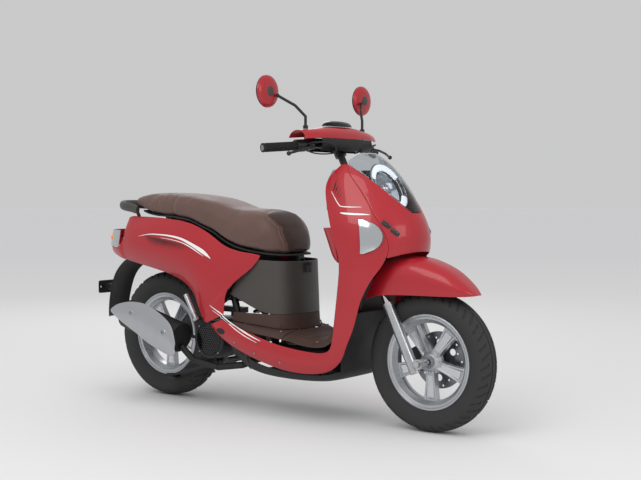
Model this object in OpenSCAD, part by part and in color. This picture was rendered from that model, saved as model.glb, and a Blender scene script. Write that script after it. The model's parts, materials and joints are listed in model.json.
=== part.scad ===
// Step-through moped scooter, standing on its two tyres with both stands up.
// +X is forward, +Y is the rider's left, +Z is up. The origin is on the ground, under the centre of the overall box.

/* [Overall] */
// Distance between the two axles
wheelbase = 1251; // [1050:1:1510]
// Width over the ends of the grips
overall_w = 683; // [560:1:820]
// Width of the bodywork over the leg shields
body_w = 374; // [360:1:450]
// Distance from the rear axle to the end of the plate holder
rear_overhang = 371; // [365:1:450]

/* [Wheels] */
// Outer diameter of the front tyre
front_tyre_d = 485; // [400:1:590]
// Width of the front tyre
front_tyre_w = 100; // [83:1:108]
// Outer diameter of the rear tyre
rear_tyre_d = 503; // [415:1:605]
// Width of the rear tyre
rear_tyre_w = 110; // [90:1:120]
// Diameter over the rim flanges
rim_d = 332; // [275:1:350]
// Width of the flat that the load presses on each crown
tread_flat = 44; // [30:1:60]
// Diameter of the front axle
front_axle_d = 12; // [10:1:16]
// Diameter of the rear axle
rear_axle_d = 16; // [14:1:20]

/* [Steering] */
// Angle of the steering axis from the vertical
caster = 26.5; // [24:0.5:29]
// Distance of the front axle ahead of the steering axis
fork_offset = 33; // [28:1:38]
// Distance between the fork legs
fork_spacing = 150; // [148:1:170]
// Diameter of the fork tubes
fork_tube_d = 26; // [24:1:30]
// Diameter of the fork sliders
slider_d = 38; // [35:1:40]
// Diameter of the handlebar tube
bar_d = 22; // [20:0.2:25]

/* [Bodywork] */
// Wall of the moulded panels
wall = 3; // [2.5:0.1:3.6]
// Gap where two panels meet
panel_gap = 0.8; // [0.5:0.1:0.9]
// Diameter of the frame's main tube
main_tube_d = 42; // [35:1:48]
// Diameter of the frame's rear rails
rail_d = 27; // [22:1:30]

/* [Engine] */
// Diameter of the muffler's body
muffler_d = 116; // [96:1:124]
// Diameter of the cylinder's finned barrel
barrel_d = 88; // [73:1:96]
// Diameter of the bolt that the engine swings on
pivot_d = 12; // [10:1:16]
// Radial clearance of a running shaft
run_gap = 0.05; // [0.02:0.01:0.1]

/* [Fasteners] */
// Diameter of the number plate's bolt holes
plate_hole_d = 6.6; // [5.5:0.1:8]
// Distance between the number plate's bolt holes
plate_pitch = 110; // [90:1:120]
// Diameter of the carrier's bolt holes in the grab rail
carrier_hole_d = 8.6; // [7:0.1:10]

/* [Hidden] */
$fn = 48;

red = "#b3152a";
brown = "#4a352f";
dark = "#3b3a38";
black = "#17171a";
silver = "#b9bcc0";
steel = "#7d8085";

front_r = front_tyre_d / 2;
rear_r = rear_tyre_d / 2;
overall_l = rear_overhang + wheelbase + front_r;
rear_x = -overall_l / 2 + rear_overhang;
front_x = rear_x + wheelbase;

// The panels are drawn for this scooter and then carried by place() to the chosen sizes.
drawn_rear_x = -561;
drawn_front_x = 690;
drawn_front_r = 242.5;
drawn_rear_r = 251.5;
drawn_half_w = 187;
stretch_from = -150;
stretch_to = 380;
rear_shift = rear_x - drawn_rear_x;
front_shift = front_x - drawn_front_x;
rear_lift = 2 * (rear_r - drawn_rear_r);
front_lift = 2 * (front_r - drawn_front_r);
function along(x) = min(1, max(0, (x - stretch_from) / (stretch_to - stretch_from)));
function place_x(x) = x + rear_shift + (front_shift - rear_shift) * along(x);
function place_z(x, z) = z + rear_lift + (front_lift - rear_lift) * along(x);
function place_y(y) = y * (body_w / 2) / drawn_half_w;
function place(p) = [place_x(p.x), place_y(p.y), place_z(p.x, p.z)];
// The same without the width, for what keeps its own width
function site(x, y, z) = [place_x(x), y, place_z(x, z)];

// ---- curves and surfaces ----
function mixed(a, b, t) = a + (b - a) * t;
function bezier(p, t) =
  pow(1 - t, 3) * p[0] + 3 * t * pow(1 - t, 2) * p[1] + 3 * t * t * (1 - t) * p[2] + pow(t, 3) * p[3];
function bezier_row(p, n) = [for (i = [0 : n - 1]) bezier(p, i / (n - 1))];
function catmull(a, b, c, d, t) =
  0.5 * (2 * b + (c - a) * t + (2 * a - 5 * b + 4 * c - d) * t * t + (3 * b - a - 3 * c + d) * pow(t, 3));
function curve_at(p, s) =
  let (n = len(p) - 1, i = min(n - 1, floor(s)), t = s - i,
    before = i > 0 ? p[i - 1] : 2 * p[0] - p[1], after = i < n - 1 ? p[i + 2] : 2 * p[n] - p[n - 1])
  catmull(before, p[i], p[i + 1], after, t);
function smooth_rows(rows, n) = [for (s = [0 : (len(rows) - 1) * n]) curve_at(rows, s / n)];
function flat(rows) = [for (r = rows) for (p = r) p];
function unit(v) = v / max(norm(v), 1e-9);
function grid_normal(g, i, j) =
  let (n = len(g) - 1, m = len(g[0]) - 1,
    du = g[min(n, i + 1)][j] - g[max(0, i - 1)][j],
    dv = g[i][min(m, j + 1)] - g[i][max(0, j - 1)])
  unit(cross(du, dv));
function placed(g) = [for (r = g) [for (p = r) place(p)]];
function flipped(g) = [for (r = g) [for (k = [len(r) - 1 : -1 : 0]) r[k]]];

// A moulded panel: the grid is its outer skin, and cross(down the rows, along a row) points outwards
module panel(g, t = wall) {
  n = len(g);
  m = len(g[0]);
  inner = [for (i = [0 : n - 1]) [for (j = [0 : m - 1]) g[i][j] - t * grid_normal(g, i, j)]];
  k = n * m;
  polyhedron(
    points = concat(flat(g), flat(inner)),
    faces = concat(
      [for (i = [0 : n - 2]) for (j = [0 : m - 2]) each
        [[i * m + j, i * m + j + 1, (i + 1) * m + j + 1], [i * m + j, (i + 1) * m + j + 1,
          (i + 1) * m + j]]],
      [for (i = [0 : n - 2]) for (j = [0 : m - 2]) each
        [[k + i * m + j, k + (i + 1) * m + j + 1, k + i * m + j + 1],
         [k + i * m + j, k + (i + 1) * m + j, k + (i + 1) * m + j + 1]]],
      [for (i = [0 : n - 2]) each
        [[i * m, (i + 1) * m, k + (i + 1) * m], [i * m, k + (i + 1) * m, k + i * m],
         [i * m + m - 1, k + (i + 1) * m + m - 1, (i + 1) * m + m - 1],
         [i * m + m - 1, k + i * m + m - 1, k + (i + 1) * m + m - 1]]],
      [for (j = [0 : m - 2]) each
        [[j, k + j + 1, j + 1], [j, k + j, k + j + 1],
         [(n - 1) * m + j, (n - 1) * m + j + 1, k + (n - 1) * m + j + 1],
         [(n - 1) * m + j, k + (n - 1) * m + j + 1, k + (n - 1) * m + j]]]
    )
  );
}

// A closed body lofted through rings of points, with flat ends
module loft(rings) {
  n = len(rings);
  m = len(rings[0]);
  polyhedron(
    points = concat(flat(rings), [for (e = [0, n - 1]) middle(rings[e])]),
    faces = concat(
      [for (i = [0 : n - 2]) for (j = [0 : m - 1]) let (jn = (j + 1) % m) each
        [[i * m + j, i * m + jn, (i + 1) * m + jn], [i * m + j, (i + 1) * m + jn, (i + 1) * m + j]]],
      [for (j = [0 : m - 1]) [n * m, (j + 1) % m, j]],
      [for (j = [0 : m - 1]) [n * m + 1, (n - 1) * m + j, (n - 1) * m + (j + 1) % m]]
    )
  );
}
function middle(ring) = sum_of(ring, 0) / len(ring);
function sum_of(v, i) = i == len(v) - 1 ? v[i] : v[i] + sum_of(v, i + 1);

// A round bar from a to b
module rod(a, b, r) {
  d = b - a;
  translate(a)
    rotate([0, acos(d.z / norm(d)), atan2(d.y, d.x)])
      cylinder(h = norm(d), r = r);
}
module bent_rod(points, r) {
  for (i = [0 : len(points) - 2]) rod(points[i], points[i + 1], r);
  for (i = [1 : 1 : len(points) - 2]) translate(points[i]) sphere(r = 1.02 * r);
}
module both_sides() {
  children();
  mirror([0, 1, 0]) children();
}
// A cylinder along Y, from y0 to y1, round the point (x, z)
module across(x, z, y0, y1, r) {
  translate([x, y1, z]) rotate([90, 0, 0]) cylinder(h = y1 - y0, r = r);
}
module block(low, high) {
  translate(low) cube(high - low);
}
// A wheel-like ring round the Y axis through (x, z); its outline is given as [radius, y]
module turned(x, z, outline) {
  translate([x, 0, z]) rotate([90, 0, 0]) rotate_extrude($fn = 96)
    polygon([for (p = outline) [p[0], -p[1]]]);
}

// ---- steering frame: +Z along the steering axis, origin where the axis passes the axle's height ----
steer_x = front_x - fork_offset / cos(caster);
module on_steering() {
  translate([steer_x, 0, front_r]) rotate([0, -caster, 0]) children();
}
function steer_point(x, y, z) = [
  steer_x + x * cos(caster) - z * sin(caster), y, front_r + x * sin(caster) + z * cos(caster)];
axle_drop = fork_offset * tan(caster);
bridge_z = 318 + front_lift;
bridge_h = 30;
head_from = bridge_z + bridge_h + 12;
head_l = 175;
stem_r = 13;
head_r = 26;
slider_top = 222 + front_lift / 2;
leg_y = fork_spacing / 2;
slider_r = slider_d / 2;
tube_r = fork_tube_d / 2;
axle_r = front_axle_d / 2;
// The bar's middle, level with the lever brackets
bar_z = 812 + front_lift;
bar_mid = steer_point(0, 0, bar_z);
bar_r = bar_d / 2;
grip_r = bar_r + 5.5;
// The bar's ends sweep back, so the outer corner of a grip lies beyond its middle
grip_end = overall_w / 2 - 0.36 * grip_r;
grip_in = grip_end - 119;
// The bar runs out level to bend_y and then sweeps back and down to its end
bend_y = 150;
function bar_at(side, y) = let (t = max(0, (y - bend_y) / (341.5 - bend_y)))
  [bar_mid.x - 8 - 74 * t, side * y, bar_mid.z + 24 - 14 * t];

// ---- body sections: half an ellipse in plan at each height ----
section_z = [966, 950, 925, 888, 850, 800, 760, 723, 680, 640, 600, 570, 540, 500, 451, 405, 357, 320, 290];
section_rear = [[290, 389], [357, 400], [418, 408], [505, 419], [578, 427], [640, 411], [723, 384], [800,
  353],
  [850, 336], [888, 351], [925, 384], [950, 405], [966, 418]];
section_nose = [[290, 648], [600, 650], [640, 657], [680, 656], [723, 643], [760, 624], [800, 602], [850,
  569],
  [888, 537], [925, 497], [950, 462], [966, 436]];
section_half = [[290, 185], [505, 185], [600, 187], [640, 190], [680, 192], [723, 189], [760, 180], [800,
  168],
  [850, 152], [888, 139], [925, 113], [950, 80], [966, 42]];
function on_body(angle, z, out = 0) =
  let (rear = lookup(z, section_rear), nose = lookup(z, section_nose), half = lookup(z, section_half))
  [rear + (nose - rear + out) * cos(angle), (half + out) * sin(angle), z];
// The seam between nose and leg shield, then the edge of the wheel arch, as an angle at each height
seam = [[290, 76], [357, 71], [405, 69], [451, 67], [500, 62], [540, 55.5], [570, 49], [600, 44], [640, 41],
  [680, 44],
  [723, 47], [760, 50], [800, 52], [850, 57], [888, 66], [925, 80], [950, 86], [966, 88]];
// The edge of the headlight's lens, again as an angle at each height
lens_z = [925, 905, 880, 850, 820, 790, 765, 754];
lens_edge = [[754, 9], [765, 13], [790, 20], [820, 28], [850, 36], [880, 46], [905, 60], [925, 77]];
// About 190 mm from the middle, a degree is 3.3 mm
gap_angle = panel_gap / 3.3 / 2;

module leg_shield(side) {
  cols = 9;
  upper = [for (z = section_z) if (z <= 925)
    let (a0 = lookup(z, seam) + gap_angle, a1 = 89.5)
    [for (i = [0 : cols - 1]) on_body(side * mixed(a0, a1, i / (cols - 1)), z)]];
  // Each station below the knee: outer (lower) edge, upper edge, and how far the band bulges
  knee = [[[434, 247], [378, 272], 2], [[400, 212], [352, 262], 3], [[345, 188], [312, 260], 4],
    [[247, 179], [240, 264], 5], [[146, 188], [142, 276], 6], [[41, 212], [40, 300], 7],
    [[-60, 243], [-40, 322], 7], [[-135, 277], [-98, 338], 6], [[-196, 322], [-122, 352], 5]];
  lower = [for (s = knee)
    let (y = side * (185 - (s[0].x < 0 ? 8 * s[0].x / -200 : 0)),
      p = [s[0].x, y - side * 9, s[0].y], q = [s[1].x, y - side * 4, s[1].y],
      b = [0, side * s[2] * 1.6, 0])
    bezier_row([p, mixed(p, q, 0.3) + b + [0, side * 4, 0], mixed(p, q, 0.7) + b, q], cols)];
  rows = placed(concat(upper, smooth_rows(lower, 2)));
  color(red) panel(side > 0 ? rows : flipped(rows));
}

module front_cover() {
  // Each station joins a point on the lens's edge to one on the seam, from the top round to the chin
  inner = concat([for (z = lens_z) [lookup(z, lens_edge) + gap_angle, z]], [[6, 754], [4, 754], [2, 754]]);
  outer = concat([for (z = section_z) if (z <= 925 && z >= 600) [lookup(z, seam) - gap_angle, z]],
    [[31, 612], [15, 619]]);
  half = [for (i = [0 : len(outer) - 1]) [inner[i], outer[i]]];
  all = concat(
    [for (s = half) [[-s[0][0], s[0][1]], [-s[1][0], s[1][1]]]],
    [[[0, 754], [0, 621]]],
    [for (i = [len(half) - 1 : -1 : 0]) half[i]]);
  rows = placed([for (s = all)
    [for (t = [0 : 1 / 6 : 1.01]) on_body(mixed(s[0][0], s[1][0], t), mixed(s[0][1], s[1][1], t))]]);
  color(red) panel(flipped(rows));
}

module headlight_lens() {
  low = 754 + panel_gap;
  rows = placed([for (z = concat([966, 956, 945, 936], [for (z = lens_z) max(z, low)]))
    let (a = z > 930 ? 85 : lookup(z, lens_edge) - 3.8 * gap_angle)
    [for (i = [-5 : 5]) on_body(a * i / 5, z)]]);
  color("#9aa0a6", 0.5) panel(rows);
}

lamp = [place_x(500), 0, place_z(500, 838)];
lamp_tilt = 62;
module headlight_bowl() {
  color(black) translate(lamp) rotate([0, lamp_tilt, 0]) rotate_extrude()
    polygon([[0, -62], [38, -60], [76, -22], [88, 0], [92, 0], [92, -4], [79, -26], [40, -65], [0, -67]]);
}

// The tail's outline in plan, from the middle to the side, shared by the lamp and its signals
tail_line = [[-862, 0], [-858, 34], [-846, 66], [-818, 98], [-768, 124], [-718, 139]];
function on_tail(s, z) = let (p = curve_at(tail_line, s)) [p.x + (z - 604) * 0.1, p.y - (z - 604) * 0.1, z];

module signal_lenses() {
  color("#e8e8ea") both_sides() {
    front = placed([for (k = [0 : 8])
      let (z = mixed(733, 616, k / 8), w = 9.5 * sqrt(max(0.03, 1 - pow(k / 4 - 1, 2))), a = mixed(56, 60,
        k / 8))
      [for (i = [0 : 5]) on_body(a + 6 - 2 * w * (1 - i / 5), z, 3.1)]]);
    panel(front, 2);
    rear = placed([for (z = [604.8, 627, 650, 672]) [for (s = [2.02 : 0.33 : 4.67]) on_tail(s, z)]]);
    panel(rear);
  }
}

// The rider's side of the leg shields, from edge to edge, bulging over the steering head
module inner_leg_shield() {
  heights = [905, 870, 840, 800, 760, 720, 680, 640, 600, 560, 520, 480, 440, 400, 360, 346];
  color(dark) panel(placed([for (z = heights) [for (i = [-6 : 6]) shield_at(i / 6, z)]]));
}
// How far it bulges round the steering head above, and round the frame's tube below
shield_bulge = [[346, 76], [600, 76], [680, 56], [760, 50], [840, 58], [905, 74]];
function shield_at(u, z) = let (e = on_body(89.4, z))
  [e.x + 3 - lookup(z, shield_bulge) * (1 - pow(abs(u), 2.4)), u * (e.y - wall - 2.5), z];

pocket_low = 580;
pocket_high = 700;
module glove_pockets() {
  color(red) both_sides() {
    rows = placed([for (z = [pocket_high, 670, 640, 610, 592, pocket_low])
      let (d = 52 * sqrt((z - pocket_low) / (pocket_high - pocket_low)),
        x = shield_at(0.92, z).x, x0 = shield_at(0.47, z).x)
      bezier_row([[x - 5.9, 172, z], [x - 7 - d, 172, z], [x0 - 8 - d, 120, z], [x0 - 7.6, 88, z]], 7)]);
    panel(rows);
  }
}

// The wall behind the front wheel
module inner_fender() {
  x = place_x(409);
  half = place_y(165);
  translate([0, 0, place_z(409, 192)]) linear_extrude(205)
    polygon(concat(
      [for (i = [-6 : 6]) [x + 12 * pow(i / 6, 2), half * i / 6]],
      [for (i = [6 : -1 : -6]) [x - wall + 12 * pow(i / 6, 2), half * i / 6]]));
}

// ---- floor, belly and centre ----
module floor_panel() {
  // Cross rows from the front upturn back over the floor and up to the foot of the centre cover
  stations = [[388, 343, 150], [378, 322, 160], [350, 303, 168], [300, 300, 171], [240, 306, 172], [190,
    316, 172], [154.7, 319.2, 172]];
  rows = placed([for (s = stations) let (back = max(0, s[0] - 290) * 0.75)
    [for (i = [-8 : 8]) let (u = i / 8)
      [s[0] - (s[0] > 200 ? 6 : 0) * u * u - back * (1 - pow(abs(u), 3)), u * s[2], s[1] - 24 * pow(abs(u),
        4)]]]);
  sides = placed([for (x = [153.9, 150, 130, 110, 70, 30, -10, -60, -100])
    [for (i = [0 : 5]) let (u = i / 5)
      [x, mixed(172 - max(0, -x) * 0.06, foot_half(x) + 0.6, u), mat_z(x) - 24 * pow(1 - u, 4)]]]);
  foot = placed([for (k = [0 : 3]) let (t = k / 3)
    [for (i = [-10 : 10]) let (f = foot_at(i / 10, 0, 2.4 + 5 * pow(1 - t, 2)))
      [f.x, f.y, mixed(mat_z(f.x) + 1, 376, t)]]]);
  color(brown) {
    panel(flipped(rows));
    both_sides() panel(sides);
    panel(flipped(foot));
  }
}
function mat_z(x) = 316 + (190 - x) * 0.09;
// The foot of the centre cover in plan: a round front and straight sides running back
function foot_at(u, z, out) =
  abs(u) < 0.5
  ? [86 + (60 + out) * cos(u * 180), (124 + out) * sin(u * 180), z]
  : [86 - (abs(u) - 0.5) * 380, sign(u) * (124 + out + 26 * (abs(u) - 0.5)), z];
function foot_half(x) = x > 155 ? 0 : x > 86 ? 134 * sqrt(1 - pow((x - 86) / 71,
  2)) : 134 + 26 * (86 - x) / 380;

module under_cover() {
  stations = [[404, 190, 196, 150], [385, 168, 190, 158], [330, 150, 178, 160], [200, 143, 174, 162], [60,
    147, 190, 162],
    [-14, 160, 212, 160]];
  rows = placed(smooth_rows([for (s = stations) let (w = s[3])
    [[s[0], -w, s[2]], [s[0], -w + 6, mixed(s[2], s[1], 0.6)], [s[0], -w + 26, s[1] + 3], [s[0], -w + 60,
      s[1]],
     [s[0], 0, s[1]],
     [s[0], w - 60, s[1]], [s[0], w - 26, s[1] + 3], [s[0], w - 6, mixed(s[2], s[1], 0.6)], [s[0], w,
       s[2]]]], 2));
  // A wing on each side runs on back over the frame's foot
  wing = placed([for (x = [-14.7, -45, -75, -98]) let (lift = (-14 - x) * 0.6)
    [[x, 160, 212 + lift], [x, 154, 192 + lift], [x, 134, 164 + lift]]]);
  color(black) {
    panel(rows);
    both_sides() panel(wing);
    inner_fender();
  }
}

module centre_cover() {
  rows = placed([for (k = [0 : 8]) let (t = k / 8)
    [for (i = [-9 : 9])
      let (u = i / 9, low = 377 + (abs(u) > 0.62 ? 170 * (abs(u) - 0.62) : 0),
        high = 571 + 6 * abs(u), z = mixed(low, high, t), lean = -7 * t)
      let (f = foot_at(u, z, 3 - 2 * t + (abs(u) > 0.3 ? -6 * sin(180 * t) * (abs(u) - 0.3) : 0)))
      [f.x + lean - (abs(u) > 0.5 ? (t - 0.2) * (abs(u) - 0.5) * -150 : 0), f.y, z]]]);
  color(dark) panel(flipped(rows));
}

// Tail covers: each station joins a point on the lower edge to one on the upper edge
module side_cover(side) {
  stations = [
    [[-838, 64, 588], [-838, 66, 603], 2], [[-806, 94, 575], [-806, 104, 603], 4], [[-735, 116, 556], [-735,
      134, 603], 6],
    [[-714, 119, 553], [-714, 128, 640], 14], [[-700, 120, 551], [-700, 104, 724], 32], [[-640, 126, 541],
      [-640, 108, 728], 42],
    [[-540, 132, 524], [-540, 118, 727], 44], [[-440, 136, 505], [-435, 125, 720], 42], [[-360, 140, 478],
      [-330, 130, 706], 38],
    [[-312, 146, 446], [-230, 133, 668], 32], [[-288, 152, 420], [-150, 134, 622], 26],
    [[-272, 158, 398], [-60, 134, 602], 20], [[-258, 162, 380], [26, 134, 592], 14],
    [[-247, 165, 364], [-20, 144, 536], 12], [[-236, 168, 348], [-85, 156, 490], 10],
    [[-224, 171, 336], [-122, 162, 446], 8], [[-214, 173, 333], [-124, 168, 400], 6], [[-207, 175, 331],
      [-126, 172, 364], 4]];
  rows = placed(smooth_rows([for (s = stations)
    let (p = [s[0].x, side * s[0].y, s[0].z], q = [s[1].x, side * s[1].y, s[1].z], b = [0, side * s[2], 0])
    bezier_row([p, mixed(p, q, 0.25) + b, mixed(p, q, 0.7) + b, q], 8)], 2));
  color(red) panel(side > 0 ? flipped(rows) : rows);
}

module tail_lamp() {
  rows = placed([for (z = [604, 627, 650, 672])
    [for (s = [-2 : 0.4 : 2.01]) let (p = on_tail(abs(s), z)) [p.x, sign(s) * p.y, z]]]);
  color("#8a0f16") panel(rows, 4);
}

module grab_rail() {
  // A wide hoop behind the seat, with an arm running forward on each side
  hoop = [for (i = [-8 : 8]) let (a = i / 8 * 90)
    [place([-690 - 118 * cos(a), 108 * sin(a), 764 + 12 * cos(a)]), [-cos(a), sin(a), 0]]];
  arm = [for (x = [-672, -656, -643]) [place([x, 108 + (x + 690) * 0.1, 764 - (x + 690) * 0.2]), [0, 1,
    0]]];
  line = concat([for (i = [2 : -1 : 0]) [[arm[i][0].x, -arm[i][0].y, arm[i][0].z], [0, -1, 0]]], hoop, arm);
  color(dark) difference() {
    union() {
      loft([for (s = line) [for (k = [7 : -1 : 0]) s[0] + s[1] * 12 * cos(k * 45) + [0, 0,
        18 * sin(k * 45)]]]);
      for (y = [-carrier_y, carrier_y]) translate([carrier_x, y, carrier_z]) cylinder(h = 10, r = 14);
    }
    for (y = [-carrier_y, carrier_y])
      translate([carrier_x, y, carrier_z - 30]) cylinder(h = 60, r = carrier_hole_d / 2);
  }
}
carrier_y = 40;
carrier_x = place_x(-782);
carrier_z = place_z(-782, 771);

module rear_fender() {
  stations = [[-600, 604, 72], [-680, 596, 72], [-750, 575, 70], [-812, 545, 66], [-858, 490, 62], [-886,
    420, 60],
    [-900, 350, 58], [-904, 300, 54]];
  rows = placed([for (s = stations)
    [for (i = [-4 : 4]) let (u = i / 4, in = 22 * pow(abs(u), 3))
      [s[0] + in * (s[1] < 560 ? 0.9 : 0.1), s[2] * u, s[1] - (s[1] > 500 ? in : 0)]]]);
  color(black) {
    panel(flipped(rows));
    plate_holder();
  }
}
plate_x = rear_x - rear_overhang;
module plate_holder() {
  low = place_z(-900, 398);
  high = low + 54;
  difference() {
    union() {
      block([plate_x, -68, low], [plate_x + 4, 68, high]);
      block([plate_x + 4, -30, low + 14], [place_x(-888.2), 30, low + 40]);
    }
    for (y = [-plate_pitch / 2, plate_pitch / 2])
      translate([plate_x - 1, y, low + 27]) rotate([0, 90, 0]) cylinder(h = 6, r = plate_hole_d / 2);
  }
}

// ---- frame ----
hinge = site(-95, 0, 205);
pivot_r = pivot_d / 2;
rail_r = rail_d / 2;
main_r = main_tube_d / 2;
crank = site(-218, 0, 264);
shock_y = 96;
shock_bolt_r = 5;
shock_top = site(-478, shock_y, 600);
shock_low = [rear_x + 9, shock_y, rear_r + 84];
seat_hinge = site(108, 0, 580);
seat_pin_r = 4;
stand_pivot = site(-84, 130, 172);
stand_axis = [0, -cos(20), -sin(20)];
peg_pivot = site(-252, 0, 344);
peg_dir = [-0.506, 0, 0.862];
peg_pin_dir = [0.862, 0, 0.506];
peg_y = place_y(187);
cross_x = 22;

module main_frame() {
  left_rail = [site(cross_x, 62, 232), site(-62, 62, 232), site(-95, 100, 300), site(-140, 106, 470),
    site(-215, 106, 590), site(-420, 104, 655), site(-690, 74, 690)];
  color(black) difference() {
    union() {
      on_steering() translate([0, 0, head_from]) cylinder(h = head_l, r = head_r);
      bent_rod([steer_point(0, 0, head_from + 60), site(374, 0, 450), site(350, 0, 300), site(296, 0, 238),
        site(cross_x, 0, 232)], main_r);
      both_sides() bent_rod(left_rail, rail_r);
      bent_rod([site(cross_x, -62, 232), site(cross_x, 62, 232)], rail_r);
      bent_rod([site(-690, -74, 690), site(-690, 74, 690)], 10);
      both_sides() hinge_plate();
      shock_plates();
      seat_fork();
      stays();
      both_sides() peg_stay();
      stand_stay();
    }
    on_steering() translate([0, 0, head_from - 1]) cylinder(h = head_l + 2, r = stem_r + run_gap);
    across(hinge.x, hinge.z, -70, 70, pivot_r + run_gap);
  }
  color(steel) across(hinge.x, hinge.z, -64, 64, pivot_r);
}
module hinge_plate() {
  hull() {
    across(hinge.x, hinge.z, 50, 58, pivot_r + 12, $fn = 32);
    across(place_x(-62), place_z(-62, 232), 50, 58, 12, $fn = 32);
  }
}
module shock_plates() {
  for (y = [shock_y - 20, shock_y + 15]) hull() {
    across(shock_top.x, shock_top.z, y, y + 5, 12, $fn = 32);
    across(shock_top.x, place_z(shock_top.x, 600) + 58, y, y + 5, 8, $fn = 32);
  }
  across(shock_top.x, shock_top.z, shock_y - 20, shock_y + 20, shock_bolt_r);
}
module seat_fork() {
  ear = 12;
  bent_rod([site(cross_x, 0, 232), site(66, 0, 420), site(100, 0, 556)], 11);
  for (y = [-ear - 4, ear]) {
    across(seat_hinge.x, seat_hinge.z, y, y + 4, 9);
    block([seat_hinge.x - 9, y, seat_hinge.z - 34], [seat_hinge.x + 9, y + 4, seat_hinge.z]);
  }
  block([seat_hinge.x - 16, -ear - 4, seat_hinge.z - 36], [seat_hinge.x + 9, ear + 4, seat_hinge.z - 22]);
  across(seat_hinge.x, seat_hinge.z, -ear - 4, ear + 4, seat_pin_r);
}
// Thin stays reach out to what hangs on the frame and end just short of it
touch = 0.35;
module stays() {
  // Headlight
  tilt = [sin(lamp_tilt), 0, cos(lamp_tilt)];
  both_sides() bent_rod([steer_point(6, 22, head_from + 130), lamp + [0, 28, 0] - 100 * tilt,
    lamp + [0, 28, 0] - (66 + touch) * tilt], 6);
  // Inner leg shield
  shield = place(shield_at(0, 620));
  rod([shield.x + wall - 0.6, 0, shield.z], steer_point(0, 0, head_from + 100), 6);
  // Floor, and the cover under it
  for (x = [100, 270]) {
    top = place_z(x, x > 190 ? 303 : 306);
    rod(site(x, 0, 232), [place_x(x), 0, top - wall - 1.2], 6);
  }
  rod(site(200, 0, 232), [place_x(200), 0, place_z(200, 143) + wall + touch], 6);
  // Inner fender
  rod(site(356, 0, 330), [place_x(409) - wall - touch, 0, place_z(356, 330)], 6);
  // Battery
  block([place_x(110), 15, place_z(110, 215)], [place_x(190), battery_y - touch, place_z(110, 235)]);
  // Tail lamp, rear fender and grab rail
  tail = place(on_tail(0, 640));
  bent_rod([site(-690, 0, 690), site(-770, 0, 640), [tail.x + 6, 0, tail.z]], 7);
  both_sides() {
    rod(site(-680, 50, 690), [place_x(-680), 50, place_z(-680, 590.6)], 5);
    rod(site(-652, 78, 685), place([-652, 102.8, 742.4]), 7);
  }
  // Luggage box
  both_sides() rod(site(-300, 104.5, 617), [place_x(-300), box_half + touch, place_z(-300, 617)], 7);
  // Side covers
  both_sides() rod(site(-440, 103, 655), place([-440, 146, 640]), 6);
  // Fuel tank
  both_sides() rod(site(-560, 87, 673), [place_x(-560), tank_half + touch, place_z(-560, 673)], 6);
}
module peg_stay() {
  bent_rod([site(-131, 106, 440), [place_x(-205), peg_y - 31, place_z(-205, 368)],
    [peg_pivot.x, peg_y - 30, peg_pivot.z], [peg_pivot.x, peg_y - 7 - touch, peg_pivot.z]], 7);
}
module stand_stay() {
  bent_rod([site(-62, 62, 232), site(-84, 96, 186), [stand_pivot.x, stand_pivot.y - 12.6, stand_pivot.z]],
    9);
}

// ---- steering ----
module steering_stem() {
  color(black) on_steering() difference() {
    union() {
      translate([0, 0, bridge_z]) cylinder(h = bar_z - bridge_z + 14, r = stem_r);
      translate([0, 0, bridge_z]) cylinder(h = bridge_h, r = 24);
      block([-15, -leg_y, bridge_z], [15, leg_y, bridge_z + bridge_h]);
      for (y = [-leg_y, leg_y]) translate([0, y, bridge_z]) cylinder(h = bridge_h, r = tube_r + 4);
    }
    for (y = [-leg_y, leg_y]) translate([0, y, bridge_z - 1]) cylinder(h = bridge_h + 2,
      r = tube_r + run_gap);
  }
}
tube_low = 60;
module fork_tubes() {
  color(silver) on_steering() for (y = [-leg_y, leg_y])
    translate([0, y, tube_low]) cylinder(h = bridge_z + bridge_h + 4 - tube_low, r = tube_r);
}
module fork_sliders() {
  eye_r = axle_r + 11;
  color(silver) on_steering() {
    for (s = [-1, 1]) difference() {
      union() {
        translate([0, s * leg_y, -38]) cylinder(h = slider_top + 38, r = slider_r);
        translate([0, s * leg_y, slider_top - 16]) cylinder(h = 16, r = slider_r + 1.5);
        across(fork_offset, -axle_drop, s * leg_y - slider_r, s * leg_y + slider_r, eye_r);
        block([0, s * leg_y - 12, -axle_drop - eye_r], [fork_offset, s * leg_y + 12, -axle_drop + eye_r]);
      }
      translate([0, s * leg_y, 4]) cylinder(h = slider_top, r = tube_r + run_gap);
      across(fork_offset, -axle_drop, -200, 200, axle_r + run_gap);
    }
    axle_half = leg_y + slider_r + 5;
    across(fork_offset, -axle_drop, -axle_half, axle_half, axle_r);
    for (s = [-1, 1]) {
      y0 = s > 0 ? axle_half : -axle_half - 7;
      across(fork_offset, -axle_drop, y0, y0 + 7, axle_r + 4);
    }
  }
}
disc_y = 46;
disc_t = 4;
disc_r = 100;
module brake_caliper() {
  color(black) on_steering() difference() {
    block([-88, disc_y - 10, 8], [-slider_r - touch, leg_y - 6, 62]);
    across(fork_offset, -axle_drop, disc_y - 0.6, disc_y + disc_t + 0.6, disc_r + 6);
  }
}
module front_fender() {
  // Each station: height and place of the ridge, then where the lower edge is
  stations = [[[548, 600], [472, 99, 451]], [[590, 605], [505, 100.5, 464]], [[635, 604], [552, 100.5,
    471]],
    [[680, 599], [620, 92, 474]], [[738, 580], [690, 84, 475]], [[783, 558], [748, 76, 475]],
    [[822, 529], [800, 64, 475]], [[852, 503], [838, 48, 476]], [[873, 481], [868, 22, 478]]];
  rows = [for (s = smooth_rows([for (s = stations) [[s[0].x, 0, s[0].y], s[1]]], 2))
    [for (i = [-9 : 9]) let (a = i * 10, side = pow(abs(sin(a)), 0.62) * sign(a), down = 1 - pow(cos(a),
      0.62))
      place_fork([mixed(s[0].x, s[1].x, down), side * s[1].y, mixed(s[0].z, s[1].z, down)])]];
  color(red) panel(rows);
}
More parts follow.
